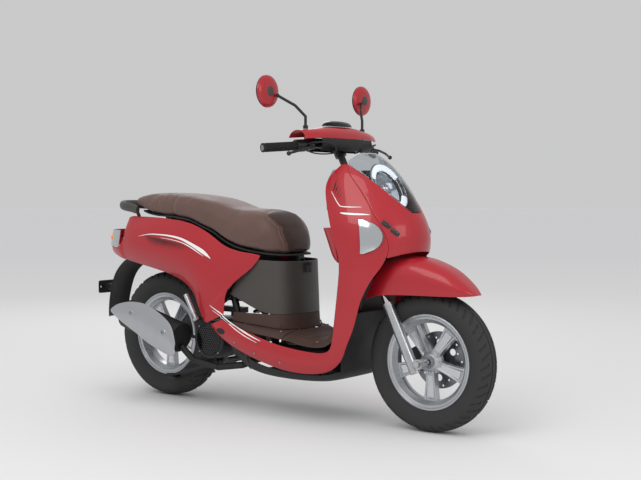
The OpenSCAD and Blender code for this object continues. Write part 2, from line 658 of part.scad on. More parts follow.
function place_fork(p) = [p.x + front_shift, p.y * (fork_spacing + slider_d + 8) / 196, p.z + front_lift];

// A frame on the bar: z runs out along it and x points at the rider
module on_bar(side, y) {
  p = bar_at(side, y);
  d = unit(bar_at(side, bend_y + 100) - bar_at(side, bend_y));
  n = unit(cross([0, 0, side], d));
  u = cross(d, n);
  multmatrix([[n.x, u.x, d.x, p.x], [n.y, u.y, d.y, p.y], [n.z, u.z, d.z, p.z], [0, 0, 0, 1]]) children();
}
function bar_far(y) = (y - bend_y) * norm(bar_at(1, 341.5) - bar_at(1, bend_y)) / (341.5 - bend_y);
module sleeve(side, y0, y1, inner, outer) {
  on_bar(side, y0) difference() {
    cylinder(h = bar_far(y1) - bar_far(y0), r = outer);
    translate([0, 0, -1]) cylinder(h = bar_far(y1) - bar_far(y0) + 2, r = inner);
  }
}
clamp_y = 160;
pivot_y = 180;
box_y = 183;
bar_hole_r = bar_r + run_gap;
module handlebar() {
  color(black) difference() {
    union() {
      bent_rod([bar_at(-1, grip_end - 3), bar_at(-1, bend_y), bar_at(1, bend_y), bar_at(1, grip_end - 3)],
        bar_r);
      on_steering() translate([0, 0, bar_z - 16]) cylinder(h = 46, r = stem_r + 8);
      for (y = [-60, 60]) translate(bar_at(1, 0) + [0, y, 0]) cylinder(h = 62.2, r = 5);
      for (y = [-60, 60]) rod(bar_at(1, 0) + [0, y, 0], bar_at(1, 0) + [-36, y, 14], 4);
    }
    on_steering() translate([0, 0, bar_z - 40]) cylinder(h = 54 + 0.3, r = stem_r + run_gap);
  }
}
module left_grip() {
  color(black) sleeve(1, grip_in, grip_end, bar_hole_r, grip_r);
}
module throttle_grip() {
  color(black) sleeve(-1, grip_in, grip_end, bar_hole_r, grip_r);
}
function lever_pivot(side) = bar_at(side, pivot_y) + [34, 0, -5];
lever_pin_r = 3.5;
lever_h = 9;
module lever_brackets() {
  color(black) for (side = [-1, 1]) {
    p = lever_pivot(side);
    difference() {
      union() {
        sleeve(side, clamp_y, box_y - 2, bar_hole_r, bar_r + 7);
        translate(p + [0, 0, -9]) cylinder(h = 18, r = 10);
        block([p.x - 34 + bar_r + 2, min(side * (clamp_y + 6), side * (pivot_y - 2)), p.z - 9],
          [p.x, max(side * (clamp_y + 6), side * (pivot_y - 2)), p.z + 9]);
      }
      translate(p + [0, 0, -lever_h / 2 - touch]) difference() {
        cylinder(h = lever_h + 2 * touch, r = 14);
        cylinder(h = 50, r = lever_pin_r, center = true);
      }
      sleeve(side, clamp_y - 9, box_y + 9, 0, bar_hole_r);
    }
    mirror_arm(side);
    switch_box(side);
  }
}
mirror_x = place_x(190);
mirror_z = bar_mid.z + 209;
mirror_y = overall_w / 2 - 58.5;
mirror_r = 57;
function ball(side) = [mirror_x + 18.6, side * (mirror_y - 30), mirror_z - 14];
module mirror_arm(side) {
  foot = [bar_mid.x - 22, side * 172, bar_mid.z + 40];
  // The stud ends under the bar's cover and the arm stands on top of it
  translate(foot - [0, 0, 3]) cylinder(h = 34.5, r = 5);
  bent_rod([foot + [0, 0, 40.5], foot + [0, 0, 84], foot + [-26, side * 26, 122], ball(side)], 5);
  translate(ball(side)) sphere(r = 7);
  translate(foot + [0, 0, 40.5]) cylinder(h = 12, r = 9);
}
module mirror_head(side) {
  color(red) translate([mirror_x, side * mirror_y, mirror_z]) rotate([0, 90, 0])
    rotate_extrude() polygon([[0, -10], [55, -10], [mirror_r, -7], [mirror_r, -3], [50, 6], [36, 11], [18,
      12], [0, 12]]);
}
module switch_box(side) {
  difference() {
    sleeve(side, box_y, grip_in - 0.5, bar_hole_r, 22);
    on_bar(side, 202) rotate([0, 90, 0]) translate([0, 0, 15]) cylinder(h = 20,
      r = button_r + run_gap);
    if (side > 0) on_bar(side, 202) switch_slot(0.15, 30);
  }
}
button_r = 5;
module button(side) {
  on_bar(side, 202) rotate([0, 90, 0]) translate([0, 0, 18.6]) cylinder(h = 8, r = button_r);
}
module switch_slot(gap, out) {
  block([15 - (gap > 0 ? 1 : 0), 9 - gap, -6 - gap], [out, 15 + gap, 6 + gap]);
}
module starter_button() {
  color("#b03020") button(-1);
}
module horn_button() {
  color("#808080") button(1);
}
module signal_switch() {
  color("#808080") on_bar(1, 202) block([15.2, 9, -2.5], [24, 15, 2.5]);
}
module bar_cover_upper() {
  rows = [for (i = [-8 : 8]) let (y = i / 8 * 213, b = bar_at(sign(i + 0.5), abs(y)), mid = hump(y))
    bezier_row([[b.x + 40 + 10 * mid, y, b.z + 24], [b.x + 44 + 8 * mid, y, b.z + 56 + 14 * mid],
      [b.x - 18 - 6 * mid, y, b.z + 70 + 20 * mid], [b.x - 32 - 4 * mid, y, b.z + 28]], 9)];
  color(red) panel(flipped(rows));
}
meter_z = bar_mid.z + 24 + 69.9;
module meter() {
  c = bar_at(1, 0) + [-4, 0, 0];
  rings = [for (k = [0 : 4]) let (s = [1, 0.94, 0.8, 0.55, 0.2][k], h = [0, 9, 15, 19, 20.8][k])
    [for (i = [19 : -1 : 0]) [c.x + 33 * s * cos(i * 18), 84 * s * sin(i * 18), meter_z + h]]];
  color("#3a3d42") loft(rings);
}
module bar_cover_lower() {
  color(black) {
    front = [for (i = [-6 : 6]) let (y = i / 6 * 150, x = bar_mid.x + 32 + 10 * hump(y))
      bezier_row([[x, y, bar_mid.z + 47.2], [x + 8, y, bar_mid.z + 30], [x + 4, y, bar_mid.z + 12],
        [x - 8, y, bar_mid.z + 6]], 5)];
    panel(front);
    rear = [for (i = [-6 : 6]) let (y = i / 6 * 150, x = bar_mid.x - 40 - 4 * hump(y))
      bezier_row([[x, y, bar_mid.z + 51], [x - 5, y, bar_mid.z + 30], [x - 1, y, bar_mid.z + 12],
        [x + 7, y, bar_mid.z + 2]], 5)];
    panel(flipped(rear));
  }
}
// The bar's covers swell over the meter
function hump(y) = exp(-pow(y / 120, 4));
module brake_lever(side) {
  p = lever_pivot(side);
  color(black) difference() {
    union() {
      translate(p + [0, 0, -lever_h / 2]) cylinder(h = lever_h, r = 9);
      bent_rod([p + [4, side * 6, 0], p + [15, side * 30, -4], p + [12, side * 76, -14], p + [-2,
        side * 124, -26]], 4.4);
      translate(p + [-2, side * 128, -27]) sphere(r = 8);
    }
    translate(p + [0, 0, -20]) cylinder(h = 40, r = lever_pin_r + run_gap);
    // Kept clear of the bracket's two plates
    for (z = [-24, lever_h / 2]) translate(p + [0, 0, z]) cylinder(h = 19.5, r = 11);
  }
}
module ignition_key() {
  p = place(shield_at(-0.42, 772));
  color(silver) translate(p - [9.8, 0, 0]) rotate([0, -90, 0]) {
    cylinder(h = 6, r = 13);
    translate([0, 0, 6]) block([-9, -1.5, 0], [9, 1.5, 22]);
  }
}
module bag_hook() {
  x = place_x(142.6);
  color(black) {
    block([x, -14, place_z(146, 528)], [x + 7, 14, place_z(146, 566)]);
    block([x + 7, -5, place_z(146, 556)], [x + 18, 5, place_z(146, 564)]);
  }
}

// ---- wheels ----
function rim_outline(r, hw) = [[r, hw], [r, hw - 4], [r - 13, hw - 6], [r - 15, hw - 14], [r - 26, hw - 20],
  [r - 26, 20 - hw], [r - 15, 14 - hw], [r - 13, 6 - hw], [r, 4 - hw], [r, -hw], [r - 8, -hw - 1], [r - 20,
    2 - hw],
  [r - 24, 14 - hw], [r - 32, 24 - hw], [r - 32, hw - 24], [r - 24, hw - 14], [r - 20, hw - 2], [r - 8,
    hw + 1]];
function tyre_outline(r, half, rim, hw) = [[r, tread_flat / 2], [r - 4, half * 0.7], [r - 15, half * 0.93],
  [r - 34, half], [r - 56, half * 0.93], [rim + 4, hw + 1], [rim + 0.4, hw - 2], [rim + 0.4, hw - 4.4],
    [rim - 12, hw - 6.4],
  [rim - 12, hw - 14], [rim + 6, hw - 8], [r - 50, half - 9], [r - 28, half - 10], [r - 12, half * 0.6],
    [r - 9, 0]];
module tyre(x, r, w, hw) {
  half_line = tyre_outline(r, w / 2, rim_d / 2, hw);
  n = len(half_line);
  color(black) turned(x, r, concat(half_line, [for (i = [n - 2 : -1 : 0]) [half_line[i][0],
    -half_line[i][1]]]));
}
front_hw = 33;
rear_hw = 37;
module spokes(x, z, from, to, thick) {
  for (i = [0 : 4]) translate([x, 0, z]) rotate([0, -i * 72 - 18, 0]) {
    translate([0, thick / 2, 0]) rotate([90, 0, 0]) linear_extrude(thick)
      polygon([[from, -19], [to, -24], [to, 24], [from, 19]]);
  }
}
module front_rim() {
  color(silver) difference() {
    union() {
      turned(front_x, front_r, rim_outline(rim_d / 2, front_hw));
      spokes(front_x, front_r, 28, rim_d / 2 - 28.5, 24);
      across(front_x, front_r, -30, 30, 36);
      across(front_x, front_r, -leg_y + slider_r + 0.5, leg_y - slider_r - 0.5, axle_r + 9);
      across(front_x, front_r, 0, disc_y - touch, 48);
    }
    across(front_x, front_r, -100, 100, axle_r + run_gap);
  }
}
module brake_disc() {
  color(steel) difference() {
    across(front_x, front_r, disc_y, disc_y + disc_t, disc_r);
    across(front_x, front_r, disc_y - 1, disc_y + disc_t + 1, axle_r + 9 + touch);
    for (i = [0 : 17]) rotate_about(front_x, front_r, i * 20)
      across(front_x + disc_r - 10 - 12 * (i % 2), front_r, disc_y - 1, disc_y + disc_t + 1, 4);
    for (i = [0 : 5]) rotate_about(front_x, front_r, i * 60 + 30)
      across(front_x + 62, front_r, disc_y - 1, disc_y + disc_t + 1, 12);
  }
}
module rotate_about(x, z, a) {
  translate([x, 0, z]) rotate([0, a, 0]) translate([-x, 0, -z]) children();
}
case_y = 62;
module rear_rim() {
  color(silver) {
    turned(rear_x, rear_r, rim_outline(rim_d / 2, rear_hw));
    spokes(rear_x, rear_r, 40, rim_d / 2 - 28.5, 28);
    across(rear_x, rear_r, -36, 50, 58);
    across(rear_x, rear_r, -50, 132, rear_axle_r);
    across(rear_x, rear_r, 50, case_y - 1, 20);
  }
}
rear_axle_r = rear_axle_d / 2;

// ---- engine, on its hinge ----
case_w = 78;
barrel_r = barrel_d / 2;
barrel_z = crank.z + 34;
module engine_case() {
  color(silver) difference() {
    union() {
      across(crank.x, crank.z, -case_y, case_y, 76);
      rod([crank.x + 40, 0, crank.z + 16], [place_x(-10), 0, barrel_z + 8], barrel_r - 8);
      for (i = [0 : 5]) translate([place_x(-84) + i * 10, 0, barrel_z]) rotate([0, 90, 0]) cylinder(h = 3,
        r = barrel_r - 2);
      block([place_x(-26), -40, barrel_z - 34], [place_x(0), 40, barrel_z + 44]);
      hull() {
        across(hinge.x, hinge.z, -46, 46, pivot_r + 10, $fn = 32);
        across(crank.x + 40, crank.z - 30, -46, 46, 20, $fn = 32);
      }
      // Belt drive and reduction gears, beside the tyre
      hull() {
        across(crank.x, crank.z, case_y, case_y + case_w, 68, $fn = 32);
        across(rear_x, rear_r, case_y, case_y + case_w, 62, $fn = 32);
      }
      for (y = [shock_y - 20, shock_y + 14]) hull() {
        across(shock_low.x, shock_low.z, y, y + 6, 13, $fn = 32);
        across(shock_low.x, rear_r + 40, y, y + 6, 16, $fn = 32);
      }
      across(shock_low.x, shock_low.z, shock_y - 20, shock_y + 20, shock_bolt_r);
      both_sides() across(centre_pivot.x, centre_pivot.z, 40, 56, 15);
      both_sides() block([centre_pivot.x - 8, 40, centre_pivot.z], [centre_pivot.x + 22, 56, crank.z - 50]);
      // Air box over the belt drive
      block([crank.x - 150, case_y + 10, crank.z + 82], [crank.x - 20, case_y + 40, crank.z + 104]);
      block([crank.x - 90, case_y + 14, crank.z + 50], [crank.x - 60, case_y + 36, crank.z + 90]);
    }
    across(hinge.x, hinge.z, -60, 60, pivot_r + run_gap);
    across(rear_x, rear_r, case_y - 10, case_y + case_w + 10, rear_axle_r + run_gap);
    across(centre_pivot.x, centre_pivot.z, -60, 60, stand_pin_r + run_gap);
  }
}
fan_r = 74;
fan_y = 147;
module fan_shroud() {
  color(black) {
    difference() {
      across(crank.x, crank.z, -fan_y, -case_y - touch, fan_r);
      across(crank.x, crank.z, 3 - fan_y, -case_y - 4, fan_r - 3);
      for (i = [-3 : 3]) for (k = [-3 : 3]) {
        x = (i + (k % 2) / 2) * 15;
        z = k * 13;
        if (norm([x, z]) < 52) across(crank.x + x, crank.z + z, -fan_y - 1, 4 - fan_y, 5.5);
      }
    }
  }
}
muffler_r = muffler_d / 2;
muffler_y = -166;
module exhaust() {
  front = site(-350, muffler_y, 262);
  back = [place_x(-640), muffler_y, place_z(-640, 338)];
  color("#2a2a2c") {
    difference() {
      rod(front, back, muffler_r);
      rod(mixed(front, back, 0.02), mixed(front, back, 0.98), muffler_r - 2.5);
    }
    rod(back, back + [-24, 0, 6], 16);
    bent_rod([[place_x(-14), 0, barrel_z - 36.6], site(-26, -2, 204), site(-52, -60, 192), site(-90, -104,
      172),
      site(-190, -128, 158), site(-300, -150, 178), site(-352, -160, 226)], 13);
    // Its bracket, bolted to the back of the crankcase
    bent_rod([[crank.x - 76 - 6, -40, crank.z - 10], [crank.x - 92, -90, crank.z - 10], site(-370, -120,
      268)], 6);
  }
}
module muffler_shield() {
  stations = [[-676, 346, 362], [-650, 328, 378], [-615, 306, 388], [-577, 286, 394], [-530, 260, 393],
    [-487, 237, 386],
    [-432, 216, 364], [-378, 198, 333], [-345, 196, 300], [-322, 212, 246]];
  // It lies close over the muffler's side, and wraps in at its edges where it is taller
  rows = smooth_rows([for (s = stations) let (h = s[2] - s[1], wrap = 14 * pow(min(1, h / 130), 2))
    [for (i = [0 : 8]) let (bow = sin(180 * i / 8), z = mixed(s[1], s[2], i / 8))
      [place_x(s[0] - 4 * bow), muffler_y - muffler_r - 6 + wrap * (1 - bow), place_z(s[0], z)]]], 2);
  color(silver) panel(rows);
}
centre_pivot = site(-240, 0, 172);
stand_pin_r = 8;
stand_end = [place_x(-455), 0, centre_pivot.z - 74];
module centre_stand() {
  color(black) {
    across(centre_pivot.x, centre_pivot.z, -78, 78, stand_pin_r);
    both_sides() {
      bent_rod([[centre_pivot.x, 74, centre_pivot.z], [centre_pivot.x - 60, 78, centre_pivot.z - 22],
        [stand_end.x, 84, stand_end.z]], 10);
      block([stand_end.x - 14, 74, stand_end.z - 14], [stand_end.x + 22, 118, stand_end.z - 6]);
    }
    rod([centre_pivot.x - 46, -76, centre_pivot.z - 17], [centre_pivot.x - 46, 76, centre_pivot.z - 17], 8);
    rod([stand_end.x + 10, -84, stand_end.z + 2], [stand_end.x - 46, -92, stand_end.z - 2], 6);
  }
}
module side_stand() {
  p = stand_pivot;
  color(black) {
    translate(p) turned_to(stand_axis) cylinder(h = 8, r = 11, center = true);
    rod(p + [-6, 0, 0], p + [-196, 22, -16], 8);
    block([p.x - 214, p.y + 10, p.z - 27], [p.x - 188, p.y + 40, p.z - 21]);
  }
}
module turned_to(a) {
  rotate([0, acos(a.z), atan2(a.y, a.x)]) children();
}
module footpeg(side) {
  p = [peg_pivot.x, side * peg_y, peg_pivot.z];
  color(silver) {
    rod(p - 9 * peg_pin_dir, p + 9 * peg_pin_dir, 7);
    rod(p, p + 104 * peg_dir, 7);
    rod(p + 24 * peg_dir, p + 104 * peg_dir, 9.5);
  }
}

// ---- rear suspension ----
shock_axis = unit(shock_low - shock_top);
shock_l = norm(shock_low - shock_top);
module on_shock() {
  translate(shock_top) turned_to(shock_axis) children();
}
module shock_absorber() {
  color(steel) difference() {
    union() {
      across(shock_top.x, shock_top.z, shock_y - 13, shock_y + 13, 13);
      on_shock() translate([0, 0, 10]) cylinder(h = 118, r = 15);
      on_shock() translate([0, 0, 22]) cylinder(h = 8, r = 27);
    }
    across(shock_top.x, shock_top.z, shock_y - 30, shock_y + 30, shock_bolt_r + run_gap);
    on_shock() translate([0, 0, 34]) cylinder(h = 120, r = 6 + run_gap);
  }
}
module shock_rod() {
  color(steel) difference() {
    union() {
      across(shock_low.x, shock_low.z, shock_y - 12, shock_y + 12, 12);
      on_shock() translate([0, 0, 80]) cylinder(h = shock_l - 90, r = 6);
      on_shock() translate([0, 0, shock_l - 26]) cylinder(h = 16, r = 12);
      on_shock() translate([0, 0, shock_l - 26]) cylinder(h = 6, r = 27);
    }
    across(shock_low.x, shock_low.z, shock_y - 30, shock_y + 30, shock_bolt_r + 2.2);
  }
}
module shock_spring() {
  turns = 7;
  r = 22;
  wire = 4;
  from = 30 + wire + touch;
  to = shock_l - 26 - wire - touch;
  color(red) on_shock() loft([for (i = [0 : 14 * turns]) let (a = i * 360 / 14, c = [r * cos(a), r * sin(a),
    mixed(from, to, i / (14 * turns))])
    [for (k = [0 : 5]) c + [wire * cos(a) * cos(k * 60), wire * sin(a) * cos(k * 60),
      wire * sin(k * 60)]]]);
}

// ---- seat, and what is under it ----
seat_line = [
  // x, top, underside, half width at the underside
  [-722, 800, 781, 44], [-700, 809, 773, 74], [-655, 816, 763, 96], [-600, 821, 747, 112], [-530, 822, 737,
    122],
  [-440, 820, 733, 128], [-350, 812, 722, 134], [-272, 800, 696, 138], [-220, 786, 678, 138], [-170, 772,
    650, 138],
  [-110, 763, 626, 138], [-40, 761, 611, 136], [20, 752, 604, 130], [58, 728, 600, 118], [88, 697, 598, 98],
    [108, 662, 597, 76],
  [120, 632, 598, 44]];
module seat_cushion() {
  rings = [for (s = smooth_rows([for (s = seat_line) [[s[0], s[1], 0], [s[2], s[3], 0]]], 2))
    let (x = s[0].x, top = s[0].y, low = s[1].x, w = s[1].y)
    [for (p = [[-1, 0], [-0.5, 0], [0, 0], [0.5, 0], [1, 0], [1.04, 0.3], [1, 0.62], [0.88, 0.84], [0.62,
      0.95], [0.3, 0.99],
        [0, 1], [-0.3, 0.99], [-0.62, 0.95], [-0.88, 0.84], [-1, 0.62], [-1.04, 0.3]])
      place([x, -p.x * w, mixed(low, top, p.y)])]];
  color(brown) loft(rings);
}
pan_t = 6;
module seat_pan() {
  under = smooth_rows([for (s = seat_line) [s[0], s[2], s[3]]], 2);
  rings = [for (i = [5 : len(under) - 3]) let (s = under[i], w = s.z - 12)
    [for (p = [[-1, -1], [-0.5, -1], [0.5, -1], [1, -1], [1, 0], [0.5, 0], [-0.5, 0], [-1, 0]])
      place([s.x, -p.x * w, s.y - touch + p.y * pan_t])]];
  color(black) difference() {
    union() {
      loft(rings);
      across(seat_hinge.x, seat_hinge.z, -11.5, 11.5, 9);
      block([seat_hinge.x - 30, -11.5, seat_hinge.z - 2], [seat_hinge.x, 11.5, place_z(90, 596)]);
    }
    across(seat_hinge.x, seat_hinge.z, -20, 20, seat_pin_r + run_gap);
  }
}
box_half = 86;
box_wall = 3;
module luggage_box() {
  outline = [[-66, 590], [-66, 470], [-82, 412], [-300, 412], [-350, 462], [-400, 515], [-448, 600], [-448,
    712],
    [-350, 702], [-272, 676], [-220, 656], [-170, 632], [-110, 606]];
  hollow = [[-69, 800], [-69, 470], [-85, 415], [-299, 415], [-348, 464], [-397, 516], [-445, 601], [-445,
    800]];
  color(black) difference() {
    flat_part(outline, box_half);
    flat_part(hollow, box_half - box_wall);
  }
}
// A side view carried along Y, from -half to half
module flat_part(outline, half) {
  translate([0, half, 0]) rotate([90, 0, 0]) linear_extrude(2 * half)
    polygon([for (p = outline) [place_x(p.x), place_z(p.x, p.y)]]);
}
tank_half = 56;
module fuel_tank() {
  color("#5a5a5c") {
    flat_part([[-470, 620], [-480, 606], [-660, 606], [-668, 620], [-668, 676], [-655, 690], [-480, 690],
      [-470, 676]], tank_half);
    translate(site(-560, 0, 690)) cylinder(h = 30, r = 22);
  }
}
battery_y = 34;
module battery() {
  color("#202022") {
    block([place_x(100), battery_y, place_z(100, 192)], [place_x(100) + 150, battery_y + 87, place_z(100,
      192) + 90]);
    for (x = [20, 130]) translate([place_x(100) + x, battery_y + 43, place_z(100,
      192) + 90]) cylinder(h = 6, r = 7);
  }
}

main_frame();
front_cover();
leg_shield(-1);  // leg_shield_right
leg_shield(1);  // leg_shield_left
headlight_bowl();
headlight_lens();
signal_lenses();
inner_leg_shield();
glove_pockets();
floor_panel();
under_cover();
centre_cover();
side_cover(-1);  // side_cover_right
side_cover(1);  // side_cover_left
tail_lamp();
grab_rail();
rear_fender();
luggage_box();
fuel_tank();
battery();
steering_stem();
fork_tubes();
handlebar();
bar_cover_upper();
bar_cover_lower();
meter();
left_grip();
lever_brackets();
front_fender();
fork_sliders();
brake_caliper();
tyre(front_x, front_r, front_tyre_w, front_hw);  // front_tyre
front_rim();
brake_disc();
brake_lever(-1);  // right_brake_lever
brake_lever(1);  // left_brake_lever
throttle_grip();
mirror_head(-1);  // mirror_right
mirror_head(1);  // mirror_left
starter_button();
horn_button();
signal_switch();
ignition_key();
seat_cushion();
seat_pan();
footpeg(-1);  // footpeg_right
footpeg(1);  // footpeg_left
side_stand();
engine_case();
fan_shroud();
exhaust();
muffler_shield();
centre_stand();
tyre(rear_x, rear_r, rear_tyre_w, rear_hw);  // rear_tyre
rear_rim();
shock_absorber();
shock_rod();
shock_spring();
bag_hook();
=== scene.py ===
"""Looks of a step-through scooter: panels, seat, wheels, lamps, controls and trim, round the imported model."""

import json
import logging
import math
from dataclasses import dataclass
from enum import Enum
from typing import Optional, Sequence

import bmesh
import bpy
from bmesh.types import BMesh
from bpy.types import Material, Node, NodeSocket, NodeTree, Object
from mathutils import Matrix, Vector
from mathutils.bvhtree import BVHTree

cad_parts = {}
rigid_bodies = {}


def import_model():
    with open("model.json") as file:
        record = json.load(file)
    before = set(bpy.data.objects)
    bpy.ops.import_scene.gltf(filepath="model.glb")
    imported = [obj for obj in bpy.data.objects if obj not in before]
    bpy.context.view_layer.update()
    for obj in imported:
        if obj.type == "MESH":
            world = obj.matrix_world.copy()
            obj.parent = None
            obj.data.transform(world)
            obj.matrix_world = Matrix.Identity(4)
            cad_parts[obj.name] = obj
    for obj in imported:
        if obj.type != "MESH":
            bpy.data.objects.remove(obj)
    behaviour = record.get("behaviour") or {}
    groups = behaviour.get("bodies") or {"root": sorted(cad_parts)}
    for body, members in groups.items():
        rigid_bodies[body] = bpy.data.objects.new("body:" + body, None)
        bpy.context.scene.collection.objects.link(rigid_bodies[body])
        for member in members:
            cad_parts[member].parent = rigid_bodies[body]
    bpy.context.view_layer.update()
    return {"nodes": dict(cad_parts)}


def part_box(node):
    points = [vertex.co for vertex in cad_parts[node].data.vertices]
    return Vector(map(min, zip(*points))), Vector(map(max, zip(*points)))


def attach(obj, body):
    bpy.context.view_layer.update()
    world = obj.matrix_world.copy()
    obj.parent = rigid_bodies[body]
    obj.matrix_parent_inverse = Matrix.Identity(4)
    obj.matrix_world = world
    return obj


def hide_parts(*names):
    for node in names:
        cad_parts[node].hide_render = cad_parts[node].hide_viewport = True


LOG = logging.getLogger("scooter")
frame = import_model()
SIDES = (-1, 1)
RIGHT, LEFT = SIDES
# Turns that lay a shape's Z along the rider's left, the rider's right or straight ahead
QUARTER_TO_LEFT = Matrix.Rotation(math.radians(-90), 4, "X")
QUARTER_TO_RIGHT = Matrix.Rotation(math.radians(90), 4, "X")
QUARTER_ABOUT_Y = Matrix.Rotation(math.radians(90), 4, "Y")
# A ray from this far to the side or above starts clear of every panel
CLEAR_SIDE_MM = 400.0
CLEAR_ABOVE_MM = 700.0
# The axles' places in X and Z
FRONT_AXLE = (689.75, 242.5)
REAR_AXLE = (-561.25, 251.5)


def mm(x: float, y: float, z: float) -> Vector:
    """Return a point given in millimetres, in metres."""
    return Vector((x, y, z)) * 0.001


def word_for(side: int) -> str:
    """Return the word that a piece's name takes on one side."""
    return "right" if side == RIGHT else "left"


def mixed(a: float, b: float, t: float) -> float:
    """Return the value a share t of the way from a to b."""
    return a + (b - a) * t


def lookup(z: float, table: Sequence[tuple[float, float]]) -> float:
    """Read a table of pairs, straight between its rows.

    Args:
        z: The value looked up in the first column, which rises.
        table: The rows.

    Returns:
        The second column's value there, held at both ends.
    """
    if z <= table[0][0]:
        return table[0][1]
    for (z0, v0), (z1, v1) in zip(table, table[1:]):
        if z <= z1:
            return mixed(v0, v1, (z - z0) / (z1 - z0))
    return table[-1][1]


# ---- finishes ----
def linear(code: str) -> tuple[float, float, float, float]:
    """Turn an sRGB hex colour into a linear one with full alpha."""
    parts = [int(code[i : i + 2], 16) / 255 for i in (1, 3, 5)]
    r, g, b = (c / 12.92 if c <= 0.04045 else ((c + 0.055) / 1.055) ** 2.4 for c in parts)
    return (r, g, b, 1.0)


def add(tree: NodeTree, kind: str, values: Optional[dict] = None, **settings: object) -> Node:
    """Add a shader node.

    Args:
        tree: The node tree.
        kind: The node's type.
        values: A value, or another node's output, for each input by name or index.
        settings: The node's own settings.

    Returns:
        The node.
    """
    made = tree.nodes.new(kind)
    for key, value in settings.items():
        setattr(made, key, value)
    for key, value in (values or {}).items():
        if isinstance(value, NodeSocket):
            tree.links.new(value, made.inputs[key])
        else:
            made.inputs[key].default_value = value
    return made


class Grain(Enum):
    """How a surface was made, which gives its relief."""

    MOULDED = "moulded"
    LEATHER = "leather"
    CAST = "cast"
    BRUSHED = "brushed"
    FLAKE = "flake"
    RIBBED = "ribbed"
    DOTTED = "dotted"


@dataclass(frozen=True)
class Finish:
    """One material, with the size of its relief in millimetres."""

    name: str
    colour: str
    shade: str
    roughness: float
    grain: Grain = Grain.MOULDED
    grain_mm: float = 0.9
    depth_mm: float = 0.05
    patch_mm: float = 90.0
    spread: float = 0.06
    metallic: float = 0.0
    coat: float = 0.0
    ior: float = 1.5
    see_through: float = 0.0
    glow: float = 0.0
    sheen: float = 0.0

    def material(self) -> Material:
        """Return this finish's material, made once."""
        found = bpy.data.materials.get(self.name)
        if found:
            return found
        made = bpy.data.materials.new(self.name)
        made.use_nodes = True
        tree = made.node_tree
        tree.nodes.clear()
        place = add(tree, "ShaderNodeTexCoord").outputs["Object"]
        patch = add(tree, "ShaderNodeTexNoise",
                    {"Vector": place, "Scale": 1000 / self.patch_mm, "Detail": 4.0})
        height, share = self.relief(tree, place)
        tone = add(tree, "ShaderNodeMath", {0: patch.outputs[0], 1: share}, operation="MULTIPLY_ADD")
        tone.inputs[2].default_value = -0.1
        tone.use_clamp = True
        colour = add(tree, "ShaderNodeMix", data_type="RGBA",
                     values={0: tone.outputs[0], 6: linear(self.colour), 7: linear(self.shade)})
        rough = add(tree, "ShaderNodeMapRange", {0: patch.outputs[0], 1: 0.3, 2: 0.7,
                                                 3: max(0.02, self.roughness - self.spread),
                                                 4: min(1.0, self.roughness + self.spread)})
        bump = add(tree, "ShaderNodeBump",
                   {"Height": height, "Strength": 1.0, "Distance": self.depth_mm * 0.001})
        values = {"Base Color": colour.outputs[2], "Roughness": rough.outputs[0], "Normal": bump.outputs[0],
                  "Metallic": self.metallic}
        if self.metallic < 0.5:
            values["IOR"] = self.ior
        if self.coat:
            values["Coat Weight"] = self.coat
            values["Coat Roughness"] = 0.04
        if self.see_through:
            values["Transmission Weight"] = self.see_through
        if self.sheen:
            values["Sheen Weight"] = self.sheen
        if self.glow:
            values["Emission Color"] = linear(self.colour)
            values["Emission Strength"] = self.glow
        shader = add(tree, "ShaderNodeBsdfPrincipled", values)
        add(tree, "ShaderNodeOutputMaterial", {"Surface": shader.outputs[0]})
        return made

    def relief(self, tree: NodeTree, place: NodeSocket) -> tuple[NodeSocket, NodeSocket | float]:
        """Build the relief of this finish.

        Args:
            tree: The node tree.
            place: The coordinates it follows.

        Returns:
            The height, and how strongly the patches of colour show.
        """
        scale = 1000 / self.grain_mm
        if self.grain is Grain.LEATHER:
            # Pebbles of pressed vinyl, with finer creases between them
            cells = add(tree, "ShaderNodeTexVoronoi", {"Vector": place, "Scale": scale, "Randomness": 1.0})
            fine = add(tree, "ShaderNodeTexNoise", {"Vector": place, "Scale": scale * 2.5, "Detail": 3.0})
            both = add(tree, "ShaderNodeMath", {0: cells.outputs[0], 1: fine.outputs[0]}, operation="ADD")
            return both.outputs[0], 1.2
        if self.grain is Grain.FLAKE:
            # Metal flakes under the lacquer: real ones are finer, and these are as coarse as need be to show
            cells = add(tree, "ShaderNodeTexVoronoi", {"Vector": place, "Scale": scale, "Randomness": 1.0})
            tint = add(tree, "ShaderNodeSeparateColor", {0: cells.outputs["Color"]})
            return tint.outputs[1], tint.outputs[0]
        if self.grain is Grain.BRUSHED:
            drawn = add(tree, "ShaderNodeMapping", {"Vector": place, "Scale": (1.0, 1.0, 14.0)})
            lines = add(tree, "ShaderNodeTexNoise",
                        {"Vector": drawn.outputs[0], "Scale": scale / 14, "Detail": 3.0})
            return lines.outputs[0], 1.0
        if self.grain is Grain.RIBBED:
            waves = add(tree, "ShaderNodeTexWave", bands_direction="Y",
                        values={"Vector": place, "Scale": scale / 20, "Distortion": 0.0})
            return waves.outputs[1], 1.0
        if self.grain is Grain.DOTTED:
            pips = add(tree, "ShaderNodeTexVoronoi", {"Vector": place, "Scale": scale, "Randomness": 0.0})
            edge = add(tree, "ShaderNodeMapRange", {0: pips.outputs[0], 1: 0.25, 2: 0.4, 3: 1.0, 4: 0.0})
            return edge.outputs[0], 1.0
        detail = 6.0 if self.grain is Grain.CAST else 2.0
        noise = add(tree, "ShaderNodeTexNoise", {"Vector": place, "Scale": scale, "Detail": detail})
        return noise.outputs[0], 1.0


